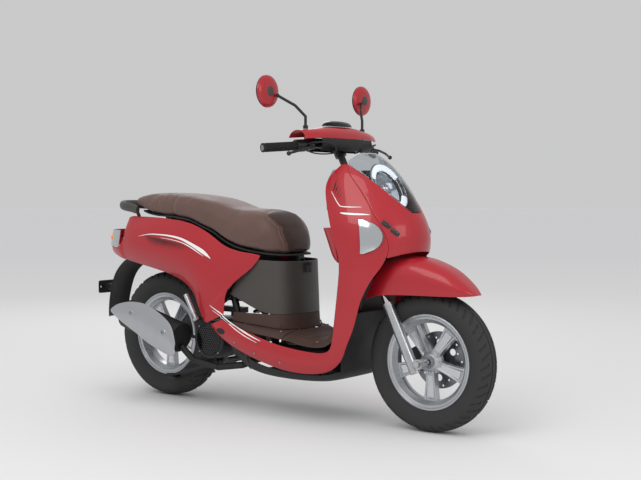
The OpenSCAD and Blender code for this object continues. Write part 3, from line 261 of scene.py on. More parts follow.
class Look:
    """The finishes of this scooter, each named for what it is."""

    # ABS in metallic candy red under clear lacquer: deep colour, sharp highlights
    RED = Finish("lacquered_abs_red", "#a80b1c", "#b01223", 0.45, Grain.FLAKE, 0.7, 0.004, 160, 0.05,
                 0.1, 0.55)
    # Polypropylene moulded with a satin texture in warm dark grey
    SATIN = Finish("satin_polypropylene_grey", "#3d3936", "#48443f", 0.48, Grain.MOULDED, 0.8, 0.03, 140)
    BLACK = Finish("textured_polypropylene_black", "#121214", "#1c1c1f", 0.55, Grain.MOULDED, 0.9, 0.06, 60)
    GLOSS_BLACK = Finish("gloss_abs_black", "#0b0b0d", "#111114", 0.14, Grain.MOULDED, 1.2, 0.004, 80,
                         0.03, coat=0.6)
    # Moulded mat with a pebbled top, matt
    MAT = Finish("pebbled_mat_brown", "#3c2924", "#4a342d", 0.72, Grain.LEATHER, 2.6, 0.16, 70)
    # PVC leathercloth over foam: a soft sheen, pressed pebbles
    VINYL = Finish("pebbled_vinyl_brown", "#563d35", "#644840", 0.5, Grain.LEATHER, 1.7, 0.13, 110,
                   0.08, sheen=0.12)
    VINYL_DARK = Finish("pebbled_vinyl_dark", "#3a2823", "#44302a", 0.52, Grain.LEATHER, 1.7, 0.13, 110, 0.08)
    THREAD = Finish("polyester_thread", "#9a8273", "#8a7060", 0.7, Grain.BRUSHED, 0.4, 0.05, 20)
    # Powder-coated steel
    FRAME = Finish("powder_coated_steel_black", "#101113", "#18191c", 0.38, Grain.CAST, 1.4, 0.02, 70)
    HEATPROOF = Finish("heatproof_enamel_black", "#131313", "#211f1d", 0.62, Grain.CAST, 1.1, 0.04, 45, 0.1)
    # Silver wheel enamel, fine metallic
    WHEEL = Finish("silver_wheel_enamel", "#b4b7bb", "#c6c9cc", 0.3, Grain.FLAKE, 0.6, 0.003, 90, 0.05,
                   0.75, 0.4)
    RECESS = Finish("machined_spoke_face", "#d3d5d8", "#c5c8cb", 0.24, Grain.BRUSHED, 0.7, 0.006, 60,
                    0.05, 0.85)
    SHIELD = Finish("silver_heat_shield", "#b9bbbe", "#a7a9ac", 0.34, Grain.CAST, 1.0, 0.008, 80, 0.06,
                    0.8, 0.2)
    CHROME = Finish("hard_chrome", "#e6e7e9", "#d9dadd", 0.06, Grain.BRUSHED, 0.5, 0.001, 120, 0.02, 1.0)
    FORK = Finish("satin_anodised_aluminium", "#b6b8bb", "#c4c6c8", 0.28, Grain.BRUSHED, 0.6, 0.004,
                  70, 0.05, 0.95)
    ENGINE = Finish("die_cast_aluminium", "#5c5d5f", "#6c6d6e", 0.52, Grain.CAST, 1.3, 0.06, 50, 0.1, 0.7)
    DARK_CAST = Finish("black_enamel_casting", "#1b1c1e", "#27282a", 0.5, Grain.CAST, 1.3, 0.06, 50,
                       0.08, 0.2)
    DISC = Finish("ground_brake_steel", "#8f9193", "#7b7d80", 0.3, Grain.BRUSHED, 0.5, 0.01, 40, 0.07, 1.0)
    ZINC = Finish("zinc_plated_steel", "#a3a49f", "#8f8f88", 0.34, Grain.CAST, 0.8, 0.006, 12, 0.06, 1.0)
    SPRING = Finish("spring_enamel_red", "#8d0f18", "#9c1a22", 0.28, Grain.CAST, 1.0, 0.01, 40, 0.04,
                    coat=0.5)
    TYRE = Finish("tyre_rubber", "#141414", "#1e1d1c", 0.78, Grain.CAST, 1.6, 0.05, 40, 0.08)
    GRIP = Finish("ribbed_grip_rubber", "#101010", "#181818", 0.7, Grain.DOTTED, 3.2, 0.5, 30)
    HOSE = Finish("rubber_hose_black", "#0d0d0e", "#151516", 0.45, Grain.MOULDED, 0.8, 0.02, 30)
    CLEAR = Finish("clear_polycarbonate", "#ffffff", "#f4f7fa", 0.03, Grain.MOULDED, 6.0, 0.002, 200, 0.01,
                   ior=1.45, see_through=1.0)
    SMOKE = Finish("smoked_polycarbonate", "#d3d8dc", "#c9ced3", 0.05, Grain.MOULDED, 6.0, 0.002, 200, 0.01,
                   ior=1.3, see_through=1.0)
    DARK_LENS = Finish("dark_polycarbonate", "#34373a", "#2c2f32", 0.08, Grain.MOULDED, 6.0, 0.002, 200, 0.01,
                       ior=1.3, see_through=0.9)
    RED_LENS = Finish("red_polycarbonate", "#c00d18", "#a00a14", 0.06, Grain.RIBBED, 4.0, 0.12, 200, 0.01,
                      ior=1.45, see_through=0.6)
    AMBER = Finish("amber_bulb_glass", "#ff9a1f", "#f58a10", 0.12, Grain.MOULDED, 3.0, 0.002, 60, 0.03,
                   glow=0.2)
    GUIDE = Finish("lit_light_guide", "#f6f9ff", "#ffffff", 0.2, Grain.MOULDED, 3.0, 0.002, 60, 0.03,
                   glow=1.1)
    REFLECTOR = Finish("aluminised_reflector", "#d4d7da", "#c4c8cc", 0.12, Grain.RIBBED, 5.0, 0.3, 60,
                       0.04, 1.0)
    MIRROR = Finish("silvered_glass", "#e8ecef", "#e2e6ea", 0.02, Grain.MOULDED, 9.0, 0.0005, 200, 0.01, 1.0)
    WHITE = Finish("white_vinyl_stripe", "#ece8e6", "#f6f3f1", 0.3, Grain.MOULDED, 1.5, 0.004, 60,
                   0.04, coat=0.7)
    DOTS = Finish("dark_vinyl_dots", "#3a0a10", "#2a070b", 0.3, Grain.MOULDED, 1.5, 0.004, 60, 0.04, coat=0.7)
    GREY_KEYS = Finish("grey_switch_plastic", "#55565a", "#606165", 0.4, Grain.MOULDED, 0.8, 0.02, 20)
    RED_KEY = Finish("red_switch_plastic", "#b3261b", "#a02015", 0.4, Grain.MOULDED, 0.8, 0.02, 20)


# ---- shapes ----
def aimed(direction: Vector, at: Vector) -> Matrix:
    """Return the matrix that carries +Z to a direction and the origin to a point."""
    return Matrix.Translation(at) @ direction.to_track_quat("Z", "Y").to_matrix().to_4x4()


def finished(name: str, bm: BMesh, finish: Finish, body: str, replaces: Sequence[str] = (),
             sharp: float = 35.0, turn_out: bool = False) -> Object:
    """Make a piece of a mesh and let it ride.

    Args:
        name: The piece's name.
        bm: Its mesh, which is used up.
        finish: Its finish.
        body: The body that it rides on.
        replaces: The nodes it stands for.
        sharp: Edges sharper than this many degrees stay crisp.
        turn_out: Whether its faces' directions are worked out again.

    Returns:
        The piece.
    """
    if turn_out:
        bmesh.ops.recalc_face_normals(bm, faces=bm.faces)
    mesh = bpy.data.meshes.new(name)
    bm.to_mesh(mesh)
    bm.free()
    mesh.materials.append(finish.material())
    mesh.polygons.foreach_set("use_smooth", [True] * len(mesh.polygons))
    mesh.set_sharp_from_angle(angle=math.radians(sharp))
    made = bpy.data.objects.new(name, mesh)
    bpy.context.scene.collection.objects.link(made)
    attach(made, body)
    if replaces:
        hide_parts(*replaces)
    LOG.info("%s: %d faces, on %s", name, len(mesh.polygons), body)
    return made


def subdivided(made: Object, levels: int) -> Object:
    """Add a subdivision surface, the same on screen and in the render."""
    smooth = made.modifiers.new("smooth", "SUBSURF")
    smooth.levels = smooth.render_levels = levels
    return made


def bevelled(made: Object, width_mm: float, segments: int = 2, angle: float = 30.0) -> Object:
    """Round a piece's edges with a bevel modifier."""
    edge = made.modifiers.new("edge", "BEVEL")
    edge.width = width_mm * 0.001
    edge.segments = segments
    edge.limit_method = "ANGLE"
    edge.angle_limit = math.radians(angle)
    edge.harden_normals = False
    return made


def copied(node: str, quads: bool = True) -> BMesh:
    """Return a merged copy of a node's mesh, with its triangles joined into quads where they pair up."""
    bm = bmesh.new()
    bm.from_mesh(frame["nodes"][node].data)
    bmesh.ops.remove_doubles(bm, verts=bm.verts, dist=2e-5)
    bmesh.ops.dissolve_degenerate(bm, dist=1e-5, edges=bm.edges)
    if quads:
        bmesh.ops.join_triangles(bm, faces=bm.faces, angle_face_threshold=0.9, angle_shape_threshold=1.2)
    return bm


def sharp_edges(bm: BMesh, angle: float) -> list:
    """Return the edges that bend by more than an angle in degrees."""
    limit = math.radians(angle)
    return [e for e in bm.edges if len(e.link_faces) == 2 and e.calc_face_angle(0.0) > limit]


def surface_of(*nodes: str) -> BVHTree:
    """Return a search tree of some nodes' surfaces."""
    bm = bmesh.new()
    for node in nodes:
        bm.from_mesh(frame["nodes"][node].data)
    tree = BVHTree.FromBMesh(bm)
    bm.free()
    return tree


def seen_from_side(skin: BVHTree, x: float, z: float, side: int) -> tuple[Optional[Vector], Optional[Vector]]:
    """Find a skin's point that shows from one side.

    Args:
        skin: The surface.
        x: The point's X in millimetres.
        z: The point's Z in millimetres.
        side: The side it is seen from.

    Returns:
        The point and its normal towards that side, or two Nones.
    """
    hit, normal, _, _ = skin.ray_cast(mm(x, side * CLEAR_SIDE_MM, z), Vector((0, -side, 0)))
    if hit is None:
        return None, None
    return hit, normal if normal.y * side > 0 else -normal


def spun(bm: BMesh, outline: Sequence[tuple[float, float]], steps: int, closed: bool) -> None:
    """Spin an outline of (radius, height) in millimetres round the Z axis.

    Args:
        bm: The mesh it is added to.
        outline: The points.
        steps: The number of steps of the turn.
        closed: Whether the outline's last point joins its first.
    """
    row = [bm.verts.new((r * 0.001, 0, z * 0.001)) for r, z in outline]
    edges = [bm.edges.new(pair) for pair in zip(row, row[1:])]
    if closed:
        edges.append(bm.edges.new((row[-1], row[0])))
    bmesh.ops.spin(bm, geom=row + edges, cent=(0, 0, 0), axis=(0, 0, 1), angle=math.tau,
                     steps=steps, use_merge=True)
    bmesh.ops.remove_doubles(bm, verts=bm.verts, dist=1e-6)
    bmesh.ops.recalc_face_normals(bm, faces=bm.faces)


def put(bm: BMesh, matrix: Matrix) -> None:
    """Carry a mesh by a matrix."""
    bmesh.ops.transform(bm, matrix=matrix, verts=bm.verts)


def join(bm: BMesh, part: BMesh, matrix: Matrix) -> None:
    """Carry a part by a matrix and add it to a mesh; the part is used up."""
    put(part, matrix)
    mesh = bpy.data.meshes.new("part")
    part.to_mesh(mesh)
    part.free()
    bm.from_mesh(mesh)
    bpy.data.meshes.remove(mesh)


def boxed(bm: BMesh, low: Vector, high: Vector, edge_mm: float = 0.0) -> None:
    """Add a box between two corners, its edges bevelled where asked."""
    made = bmesh.ops.create_cube(bm, size=1.0)["verts"]
    size = high - low
    bmesh.ops.scale(bm, vec=size, verts=made)
    bmesh.ops.translate(bm, vec=(low + high) / 2, verts=made)
    if edge_mm:
        edges = list({e for v in made for e in v.link_edges})
        bmesh.ops.bevel(bm, geom=edges, offset=edge_mm * 0.001, segments=2, profile=0.5, affect="EDGES",
                        material=-1)


def tube(name: str, points: Sequence[Vector], radius_mm: float, finish: Finish, body: str,
         closed: bool = False) -> Object:
    """Make a round tube along a smooth line through some points.

    Args:
        name: The piece's name.
        points: The points, in metres.
        radius_mm: Its radius.
        finish: Its finish.
        body: The body that it rides on.
        closed: Whether it runs back into its start.

    Returns:
        The piece.
    """
    line = bpy.data.curves.new(name, "CURVE")
    line.dimensions = "3D"
    line.bevel_depth = radius_mm * 0.001
    line.bevel_resolution = 4
    line.use_fill_caps = True
    line.resolution_u = 8
    spline = line.splines.new("NURBS")
    spline.points.add(len(points) - 1)
    for point, place in zip(spline.points, points):
        point.co = (*place, 1.0)
    spline.order_u = min(4, len(points))
    spline.use_endpoint_u = not closed
    spline.use_cyclic_u = closed
    flat = bpy.data.objects.new(name, line)
    bpy.context.scene.collection.objects.link(flat)
    bpy.context.view_layer.update()
    mesh = bpy.data.meshes.new_from_object(flat.evaluated_get(bpy.context.evaluated_depsgraph_get()))
    bpy.data.objects.remove(flat)
    bm = bmesh.new()
    bm.from_mesh(mesh)
    bpy.data.meshes.remove(mesh)
    return finished(name, bm, finish, body, sharp=60)


@dataclass
class Fasteners:
    """Bolts, nuts and screws on one body, gathered into one piece."""

    name: str
    body: str
    finish: Finish
    slot: str

    def __post_init__(self) -> None:
        """Start an empty mesh."""
        self.bm = bmesh.new()

    def hex(self, at: Vector, out: Vector, across_mm: float = 10.0, high_mm: float = 5.0) -> None:
        """Add a flanged hexagon head that stands out from a point."""
        part = bmesh.new()
        spun(part, [(0.01, -2), (across_mm * 0.78, -2), (across_mm * 0.78, 0.6), (across_mm * 0.62, 1.3),
                    (across_mm * 0.5, 1.4), (0.01, 1.4)], 20, False)
        head = bmesh.ops.create_cone(part, cap_ends=True, segments=6, radius1=across_mm * 0.000577,
                                     radius2=across_mm * 0.00054, depth=high_mm * 0.001)["verts"]
        bmesh.ops.translate(part, vec=(0, 0, high_mm * 0.0005 + 0.001), verts=head)
        join(self.bm, part, aimed(out, at))

    def screw(self, at: Vector, out: Vector, radius_mm: float = 5.0) -> None:
        """Add a round head with a hexagon socket."""
        part = bmesh.new()
        spun(part, [(0.01, 1.0), (radius_mm * 0.42, 1.0), (radius_mm * 0.45, 2.6), (radius_mm * 0.8, 2.3),
                    (radius_mm, 1.2), (radius_mm, -1.5), (0.01, -1.5)], 18, False)
        join(self.bm, part, aimed(out, at))

    def done(self) -> Object:
        """Make the piece."""
        return finished(self.name, self.bm, self.finish, self.body, sharp=40)


# ---- scene ----
@dataclass
class Studio:
    """The floor, the lights and the camera."""

    place: tuple[float, float, float] = (2.8308, -3.4268, 0.827)
    yaw: float = 37.48
    pitch: float = 2.35
    lens: float = 65.75
    # Painted light: a painted pool of light on the floor, lightest at this spot in front of the scooter,
    # darkening until it meets the backdrop far from it
    painted_light_spot: tuple[float, float, float] = (2.8308, -3.4268, 0.0)
    painted_light_fade_from: float = 3.6
    painted_light_fade_to: float = 15.0
    floor_radius: float = 60.0
    backdrop: float = 0.89

    def build(self) -> None:
        """Make the camera, the floor, the backdrop and the lights."""
        self.camera()
        self.floor()
        self.sky()
        self.light("key", (0.6, -3.4, 3.2), 2.2, 42)
        self.light("nose", (4.2, -1.0, 2.0), 1.8, 22)
        self.light("rim", (-2.8, 2.6, 2.6), 1.8, 18)
        bpy.context.scene.view_settings.view_transform = "Standard"

    def camera(self) -> None:
        """Set the camera up."""
        camera = bpy.data.objects.new("camera", bpy.data.cameras.new("camera"))
        camera.data.lens = self.lens
        camera.location = self.place
        camera.rotation_euler = (math.radians(90 - self.pitch), 0, math.radians(self.yaw))
        bpy.context.scene.collection.objects.link(camera)
        bpy.context.scene.camera = camera

    def floor(self) -> None:
        """Lay the round floor."""
        bm = bmesh.new()
        bmesh.ops.create_circle(bm, cap_ends=True, segments=64, radius=self.floor_radius)
        mesh = bpy.data.meshes.new("floor")
        bm.to_mesh(mesh)
        bm.free()
        mesh.materials.append(self.paper())
        floor = bpy.data.objects.new("floor", mesh)
        bpy.context.scene.collection.objects.link(floor)

    def sky(self) -> None:
        """Light the scene with a grey backdrop and a broad soft sun, which leaves no glint of its own."""
        world = bpy.data.worlds.new("studio")
        world.use_nodes = True
        tree = world.node_tree
        tree.nodes.clear()
        back = add(tree, "ShaderNodeBackground", {0: linear("#d4d4d5"), 1: self.backdrop})
        add(tree, "ShaderNodeOutputWorld", {0: back.outputs[0]})
        bpy.context.scene.world = world
        sun = bpy.data.objects.new("sky", bpy.data.lights.new("sky", "SUN"))
        sun.data.energy = 1.1
        sun.data.angle = math.radians(70)
        sun.rotation_euler = (math.radians(18), math.radians(10), 0)
        sun.visible_glossy = False
        bpy.context.scene.collection.objects.link(sun)

    def paper(self) -> Material:
        """Return the floor's seamless matt paper, with a painted pool of light that darkens until it meets the
        backdrop.
        """
        made = bpy.data.materials.new("studio_floor_paper_painted_light")
        made.use_nodes = True
        tree = made.node_tree
        tree.nodes.clear()
        place = add(tree, "ShaderNodeTexCoord").outputs["Object"]
        # Painted light: the paper's colour darkens with distance from a fixed spot, standing in for the lamps'
        # falloff
        away = add(tree, "ShaderNodeVectorMath", {0: place, 1: self.painted_light_spot}, operation="DISTANCE")
        share = add(tree, "ShaderNodeMapRange",
                    {0: away.outputs["Value"], 1: self.painted_light_fade_from, 2: self.painted_light_fade_to, 3: 0.0, 4: 1.0})
        tone = add(tree, "ShaderNodeMix", data_type="RGBA",
                   values={0: share.outputs[0], 6: linear("#dddddd"), 7: linear("#d3d3d4")})
        shader = add(tree, "ShaderNodeBsdfPrincipled", {"Base Color": tone.outputs[2], "Roughness": 0.9})
        add(tree, "ShaderNodeOutputMaterial", {"Surface": shader.outputs[0]})
        return made

    def light(self, name: str, place: tuple[float, float, float], size: float, watts: float) -> None:
        """Add a square soft light that points at the scooter's middle."""
        lamp = bpy.data.lights.new(name, "AREA")
        lamp.size = size
        lamp.energy = watts
        made = bpy.data.objects.new(name, lamp)
        made.location = place
        made.rotation_euler = (Vector(place) - Vector((0, 0, 0.55))).to_track_quat("Z", "Y").to_euler()
        bpy.context.scene.collection.objects.link(made)


@dataclass
class Panel:
    """A moulded panel: the node's own skin, with rounded edges and a smooth curve."""

    node: str
    body: str
    finish: Finish
    slot: str
    edge_mm: float = 0.8
    levels: int = 2

    def build(self) -> Object:
        """Round the panel's edges and smooth it."""
        bm = copied(self.node)
        edges = sharp_edges(bm, 48)
        bmesh.ops.bevel(bm, geom=edges, offset=self.edge_mm * 0.001, segments=1, profile=0.5, affect="EDGES",
                        material=-1, clamp_overlap=True)
        made = finished(f"{self.node}_skin", bm, self.finish, self.body, [self.node], 180)
        return subdivided(made, self.levels)


# ---- bodywork ----
RED_PANELS = (("front_cover", "chassis"), ("leg_shield_right", "chassis"), ("leg_shield_left", "chassis"),
              ("side_cover_right", "chassis"), ("side_cover_left", "chassis"), ("glove_pockets", "chassis"),
              ("bar_cover_upper", "steering"), ("front_fender", "fork_lower"))
DARK_PANELS = (("inner_leg_shield", Look.SATIN, "dark_plastic"), ("centre_cover", Look.SATIN, "dark_plastic"),
               ("grab_rail", Look.SATIN, "dark_plastic"), ("under_cover", Look.BLACK, "black_plastic"),
               ("rear_fender", Look.BLACK, "black_plastic"), ("floor_panel", Look.MAT, "brown_mat"))
# The nose's plan at each height: where its ellipse starts and ends along X, and its half width
PLAN_REAR = ((290, 389), (357, 400), (418, 408), (505, 419), (578, 427), (640, 411), (723, 384), (800, 353),
             (850, 336), (888, 351), (925, 384), (950, 405), (966, 418))
PLAN_NOSE = ((290, 648), (600, 650), (640, 657), (680, 656), (723, 643), (760, 624), (800, 602), (850, 569),
             (888, 537), (925, 497), (950, 462), (966, 436))
PLAN_HALF = ((290, 185), (505, 185), (600, 187), (640, 190), (680, 192), (723, 189), (760, 180), (800, 168),
             (850, 152), (888, 139), (925, 113), (950, 80), (966, 42))


def on_nose(angle: float, z: float, out: float = 0.0) -> Vector:
    """Return a point on the nose.

    Args:
        angle: Degrees from straight ahead towards the rider's left.
        z: The height in millimetres.
        out: How far in front of the skin it lies, in millimetres.

    Returns:
        The point, in metres.
    """
    rear, nose, half = (lookup(z, t) for t in (PLAN_REAR, PLAN_NOSE, PLAN_HALF))
    a = math.radians(angle)
    return mm(rear + (nose - rear + out) * math.cos(a), (half + out) * math.sin(a), z)


@dataclass
class Stripe:
    """A vinyl stripe that lies on the side of some panels, along a line of X and Z in millimetres."""

    name: str
    line: tuple[tuple[float, float, float], ...]
    nodes: tuple[str, ...]
    finish: Finish = Look.WHITE
    steps: int = 60
    lift_mm: float = 0.7

    def middle(self, t: float) -> tuple[float, float, float]:
        """Return X, Z and the width a share t of the way along, on a smooth curve."""
        s = t * (len(self.line) - 1)
        i = min(len(self.line) - 2, int(s))
        u = s - i
        p = [self.line[max(0, min(len(self.line) - 1, i + k))] for k in (-1, 0, 1, 2)]
        return tuple(0.5 * (2 * b + (c - a) * u + (2 * a - 5 * b + 4 * c - d) * u * u
                            + (3 * b - a - 3 * c + d) * u**3) for a, b, c, d in zip(*p))

    def build(self, side: int) -> Object:
        """Lay the stripe on one side of the scooter."""
        skin = surface_of(*self.nodes)
        bm = bmesh.new()
        made = bmesh.ops.create_grid(bm, x_segments=self.steps, y_segments=2, size=1.0)["verts"]
        for vert in made:
            t, across = (vert.co.x + 1) / 2, vert.co.y
            x, z, width = self.middle(t)
            x2, z2, _ = self.middle(min(1.0, t + 0.01) if t < 0.99 else t - 0.01)
            run = Vector((x2 - x, z2 - z)).normalized() * (1 if t < 0.99 else -1)
            at = Vector((x - run.y * across * width / 2, z + run.x * across * width / 2))
            hit, out = seen_from_side(skin, at.x, at.y, side)
            if hit is None:
                hit, out = mm(at.x, side * 180, at.y), Vector((0, side, 0))
            vert.co = hit + out * self.lift_mm * 0.001
        bmesh.ops.smooth_vert(bm, verts=made, factor=0.3, use_axis_x=False, use_axis_y=True, use_axis_z=False)
        bmesh.ops.solidify(bm, geom=bm.faces[:], thickness=0.0002)
        name = f"{self.name}_{word_for(side)}"
        return finished(name, bm, self.finish, "chassis", turn_out=True)


@dataclass
class DotField:
    """Round vinyl dots that shrink away from a line, on the side of some panels."""

    name: str
    corners: tuple[tuple[float, float], tuple[float, float], tuple[float, float], tuple[float, float]]
    nodes: tuple[str, ...]
    rows: int
    columns: int
    radius_mm: float

    def build(self, side: int) -> Object:
        """Lay the dots on one side of the scooter."""
        skin = surface_of(*self.nodes)
        bm = bmesh.new()
        (x0, z0), (x1, z1), (x2, z2), (x3, z3) = self.corners
        for i in range(self.rows):
            for j in range(self.columns):
                u, v = (j + 0.5 * (i % 2)) / self.columns, i / max(1, self.rows - 1)
                x = mixed(mixed(x0, x1, u), mixed(x3, x2, u), v)
                z = mixed(mixed(z0, z1, u), mixed(z3, z2, u), v)
                swell = 0.45 + 0.55 * math.sin(math.pi * min(1, u + 0.15))
                radius = self.radius_mm * (1 - 0.75 * v) * swell
                hit, out = seen_from_side(skin, x, z, side)
                if hit is None or radius < 0.5:
                    continue
                disc = bmesh.ops.create_circle(bm, cap_ends=True, segments=10, radius=radius * 0.001)["verts"]
                bmesh.ops.transform(bm, matrix=aimed(out, hit + out * 0.0006), verts=disc)
        return finished(f"{self.name}_{word_for(side)}", bm, Look.DOTS, "chassis")


@dataclass
class Bodywork:
    """The panels, their stripes, their screws and the small openings in them, which are filled with painted
    shade.
    """

    def build(self) -> None:
        """Make every panel and its trim."""
        for node, body in RED_PANELS:
            Panel(node, body, Look.RED, "body_red").build()
        for node, finish, slot in DARK_PANELS:
            Panel(node, "chassis", finish, slot).build()
        Panel("bar_cover_lower", "steering", Look.BLACK, "black_plastic").build()
        self.stripes()
        self.openings()
        self.screws()
        self.mat()

    def stripes(self) -> None:
        """Lay the pinstripes and the dots."""
        low = ("side_cover_right", "side_cover_left", "leg_shield_right", "leg_shield_left")
        shields = ("leg_shield_right", "leg_shield_left")
        covers = ("side_cover_right", "side_cover_left")
        for side in SIDES:
            Stripe("upper_pinstripe", ((-196, 397, 1.5), (-140, 372, 4.5), (-74, 336, 5), (0, 305, 5),
                                       (66, 283, 2)), low).build(side)
            Stripe("lower_pinstripe", ((-180, 380, 1), (-130, 357, 2.5), (-74, 325, 3), (-8, 296, 3),
                                       (52, 276, 1)), low).build(side)
            Stripe("tail_arc", ((-600, 650, 1), (-540, 659, 3), (-482, 659, 4.5), (-420, 655, 6),
                                (-359, 645, 8), (-300, 624, 11), (-243, 598, 14), (-205, 574, 2)),
                   covers).build(side)
            Stripe("tail_arc_inner", ((-470, 647, 0.8), (-410, 641, 2), (-350, 630, 3), (-296, 610, 4.5),
                                      (-240, 582, 1)), covers).build(side)
            Stripe("shield_v", ((372, 829, 1.2), (396, 801, 2.6), (412, 784, 3), (424, 777, 3), (456, 775, 3),
                                (496, 775, 1)), shields).build(side)
            Stripe("shield_bar", ((424, 755, 2), (440, 753, 6), (470, 751, 6.5), (505, 750, 5),
                                  (528, 749, 1)), shields).build(side)
            DotField("tail_dots", ((-560, 652), (-300, 616), (-270, 596), (-520, 612)), covers,
                     7, 30, 3.6).build(side)
            DotField("shield_dots", ((380, 832), (384, 872), (440, 812), (424, 786)), shields,
                     6, 8, 3.2).build(side)

    def openings(self) -> None:
        """Lay painted shade over the openings: dark shapes on two slits by each signal and on the oval in each
        skirt.
        """
        for side in SIDES:
            word = word_for(side)
            bm = bmesh.new()
            for angle, z in ((43.0, 716), (36.5, 690)):
                for k in range(5):
                    at = on_nose(side * (angle - 0.9 * k), z - (k - 2) * 3, 0.8)
                    across = on_nose(side * angle, z, 20) - on_nose(side * angle, z, 0)
                    disc = bmesh.ops.create_uvsphere(bm, u_segments=12, v_segments=8, radius=0.0085)["verts"]
                    bmesh.ops.scale(bm, vec=(1.0, 1.0, 0.25), verts=disc)
                    bmesh.ops.transform(bm, matrix=aimed(across.normalized(), at), verts=disc)
            # Painted shade: gloss black lentils on the skin stand in for the shade inside the slits
            finished(f"nose_slits_{word}", bm, Look.GLOSS_BLACK, "chassis")
            # Painted shade: a black sheet on the skin stands in for the shade inside the skirt's oval
            Stripe(f"skirt_oval_{word}", ((-156, 306, 0.5), (-150, 306, 15), (-138, 305, 22), (-126, 304, 22),
                                          (-114, 303, 15), (-108, 303, 0.5)),
                   ("leg_shield_right", "leg_shield_left"), Look.BLACK, 30, 0.5).build(side)

    def screws(self) -> None:
        """Put the visible screws in."""
        heads = Fasteners("body_screws", "chassis", Look.ZINC, "fork_silver")
        skin = surface_of("leg_shield_right", "leg_shield_left", "side_cover_right", "side_cover_left",
                          "under_cover", "grab_rail", "rear_fender")
        for x, z in ((40, 236), (-60, 268), (-700, 640), (160, 212)):
            for side in SIDES:
                hit, out = seen_from_side(skin, x, z, side)
                if hit is not None:
                    heads.screw(hit, out, 4.2)
        heads.done()

    def mat(self) -> None:
        """Add the mat's ribs and its screws, on the floor."""
        floor = surface_of("floor_panel")
        ribs = bmesh.new()
        screws = Fasteners("mat_screws", "chassis", Look.ZINC, "fork_silver")
        for y in range(-120, 121, 20):
            points = [floor.ray_cast(mm(x, y, CLEAR_ABOVE_MM), Vector((0, 0, -1)))[0]
                      for x in range(60, 276, 12)]
            for a, b in zip(points, points[1:]):
                if a is None or b is None or abs(a.z - b.z) > 0.03:
                    continue
                rib = bmesh.new()
                boxed(rib, mm(-7, -2, -0.8), mm(7, 2, 1.4))
                join(ribs, rib, Matrix.Translation((a + b) / 2)
                     @ (b - a).to_track_quat("X", "Z").to_matrix().to_4x4())
        finished("mat_ribs", ribs, Look.MAT, "chassis")
        for x, y in ((130, -140), (130, 140), (290, -132), (290, 132)):
            hit = floor.ray_cast(mm(x, y, CLEAR_ABOVE_MM), Vector((0, 0, -1)))[0]
            if hit is not None:
                screws.screw(hit, Vector((0, 0, 1)), 5.5)
        screws.done()


# ---- lamps ----
@dataclass
class Headlight:
    """The round lamp under its smoked lens."""

    centre: tuple[float, float, float] = (499.75, 0, 838)
    tilt: float = 62.0

    def at(self, x: float, y: float, z: float) -> Vector:
        """Carry a point of the lamp's own frame, whose Z looks out, to its place."""
        a = math.radians(self.tilt)
        cx, cy, cz = self.centre
        return mm(cx + x * math.cos(a) + z * math.sin(a), cy + y, cz - x * math.sin(a) + z * math.cos(a))

    def build(self) -> None:
        """Make the bowl, the light guides, the rings, the lamp's bar and the lens."""
        pose = Matrix.Translation(mm(*self.centre)) @ Matrix.Rotation(math.radians(self.tilt), 4, "Y")
        bm = bmesh.new()
        spun(bm, [(0.01, -58), (38, -56), (74, -20), (86, 4), (94, 10), (96, 8), (90, 0), (78, -26),
                  (40, -64), (0.01, -66)], 72, False)
        put(bm, pose)
        finished("headlight_shell", bm, Look.GLOSS_BLACK, "chassis", ["headlight_bowl"])
        bm = bmesh.new()
        spun(bm, [(0.01, -34), (30, -33), (58, -22), (70, -6), (74, -6), (62, -26), (30, -38),
                  (0.01, -39)], 72, False)
        put(bm, pose)
        finished("headlight_reflector", bm, Look.REFLECTOR, "chassis")
        for name, start in (("low", -62), ("high", 118)):
            self.guide(name, start, pose)
        for name, radius, high, thick in (("inner", 72, 9, 2.2), ("outer", 93, 12, 1.6)):
            turns = [math.radians(degrees) for degrees in range(0, 360, 10)]
            ring = [self.at(radius * math.cos(a), radius * math.sin(a), high) for a in turns]
            tube(f"headlight_ring_{name}", ring, thick, Look.CHROME, "chassis", True)
        bar = bmesh.new()
        for middle in (-13, 13):
            boxed(bar, mm(middle - 8, -40, -26), mm(middle + 8, 40, -12), 2.0)
        put(bar, pose)
        finished("headlight_projector", bar, Look.CLEAR, "chassis")
        frame_bar = bmesh.new()
        boxed(frame_bar, mm(-28, -54, -32), mm(28, 54, -27), 2.5)
        put(frame_bar, pose)
        finished("headlight_bezel", frame_bar, Look.GLOSS_BLACK, "chassis")
        diodes = bmesh.new()
        for middle in (-13, 13):
            for y in range(-30, 31, 15):
                boxed(diodes, mm(middle - 4, y - 5, -27.5), mm(middle + 4, y + 5, -25), 0.8)
        put(diodes, pose)
        finished("headlight_diodes", diodes, Look.GUIDE, "chassis")
        Panel("headlight_lens", "chassis", Look.SMOKE, "smoke_lens", 0.8, 2).build()

    def guide(self, name: str, start: float, pose: Matrix, turn: float = 124.0, steps: int = 31) -> None:
        """Spin one arc of the broad white light guide.

        Args:
            name: Which arc it is.
            start: Where it starts, in degrees round the lamp.
            pose: The lamp's place.
            turn: How far it runs, in degrees.
            steps: The number of steps of the turn.
        """
        bm = bmesh.new()
        first = Matrix.Rotation(math.radians(start), 3, "Z")
        row = [bm.verts.new(first @ mm(r, 0, z)) for r, z in ((68, 6), (70, 12), (80, 15), (90, 12), (92, 6))]
        edges = [bm.edges.new(pair) for pair in zip(row, row[1:])]
        swept = bmesh.ops.spin(bm, geom=row + edges, cent=(0, 0, 0), axis=(0, 0, 1), angle=math.radians(turn),
                               steps=steps)
        last = [v for v in swept["geom_last"] if isinstance(v, bmesh.types.BMVert)]
        for end in (row, last):
            bm.faces.new(end)
        put(bm, pose)
        finished(f"light_guide_{name}", bm, Look.GUIDE, "chassis", turn_out=True)


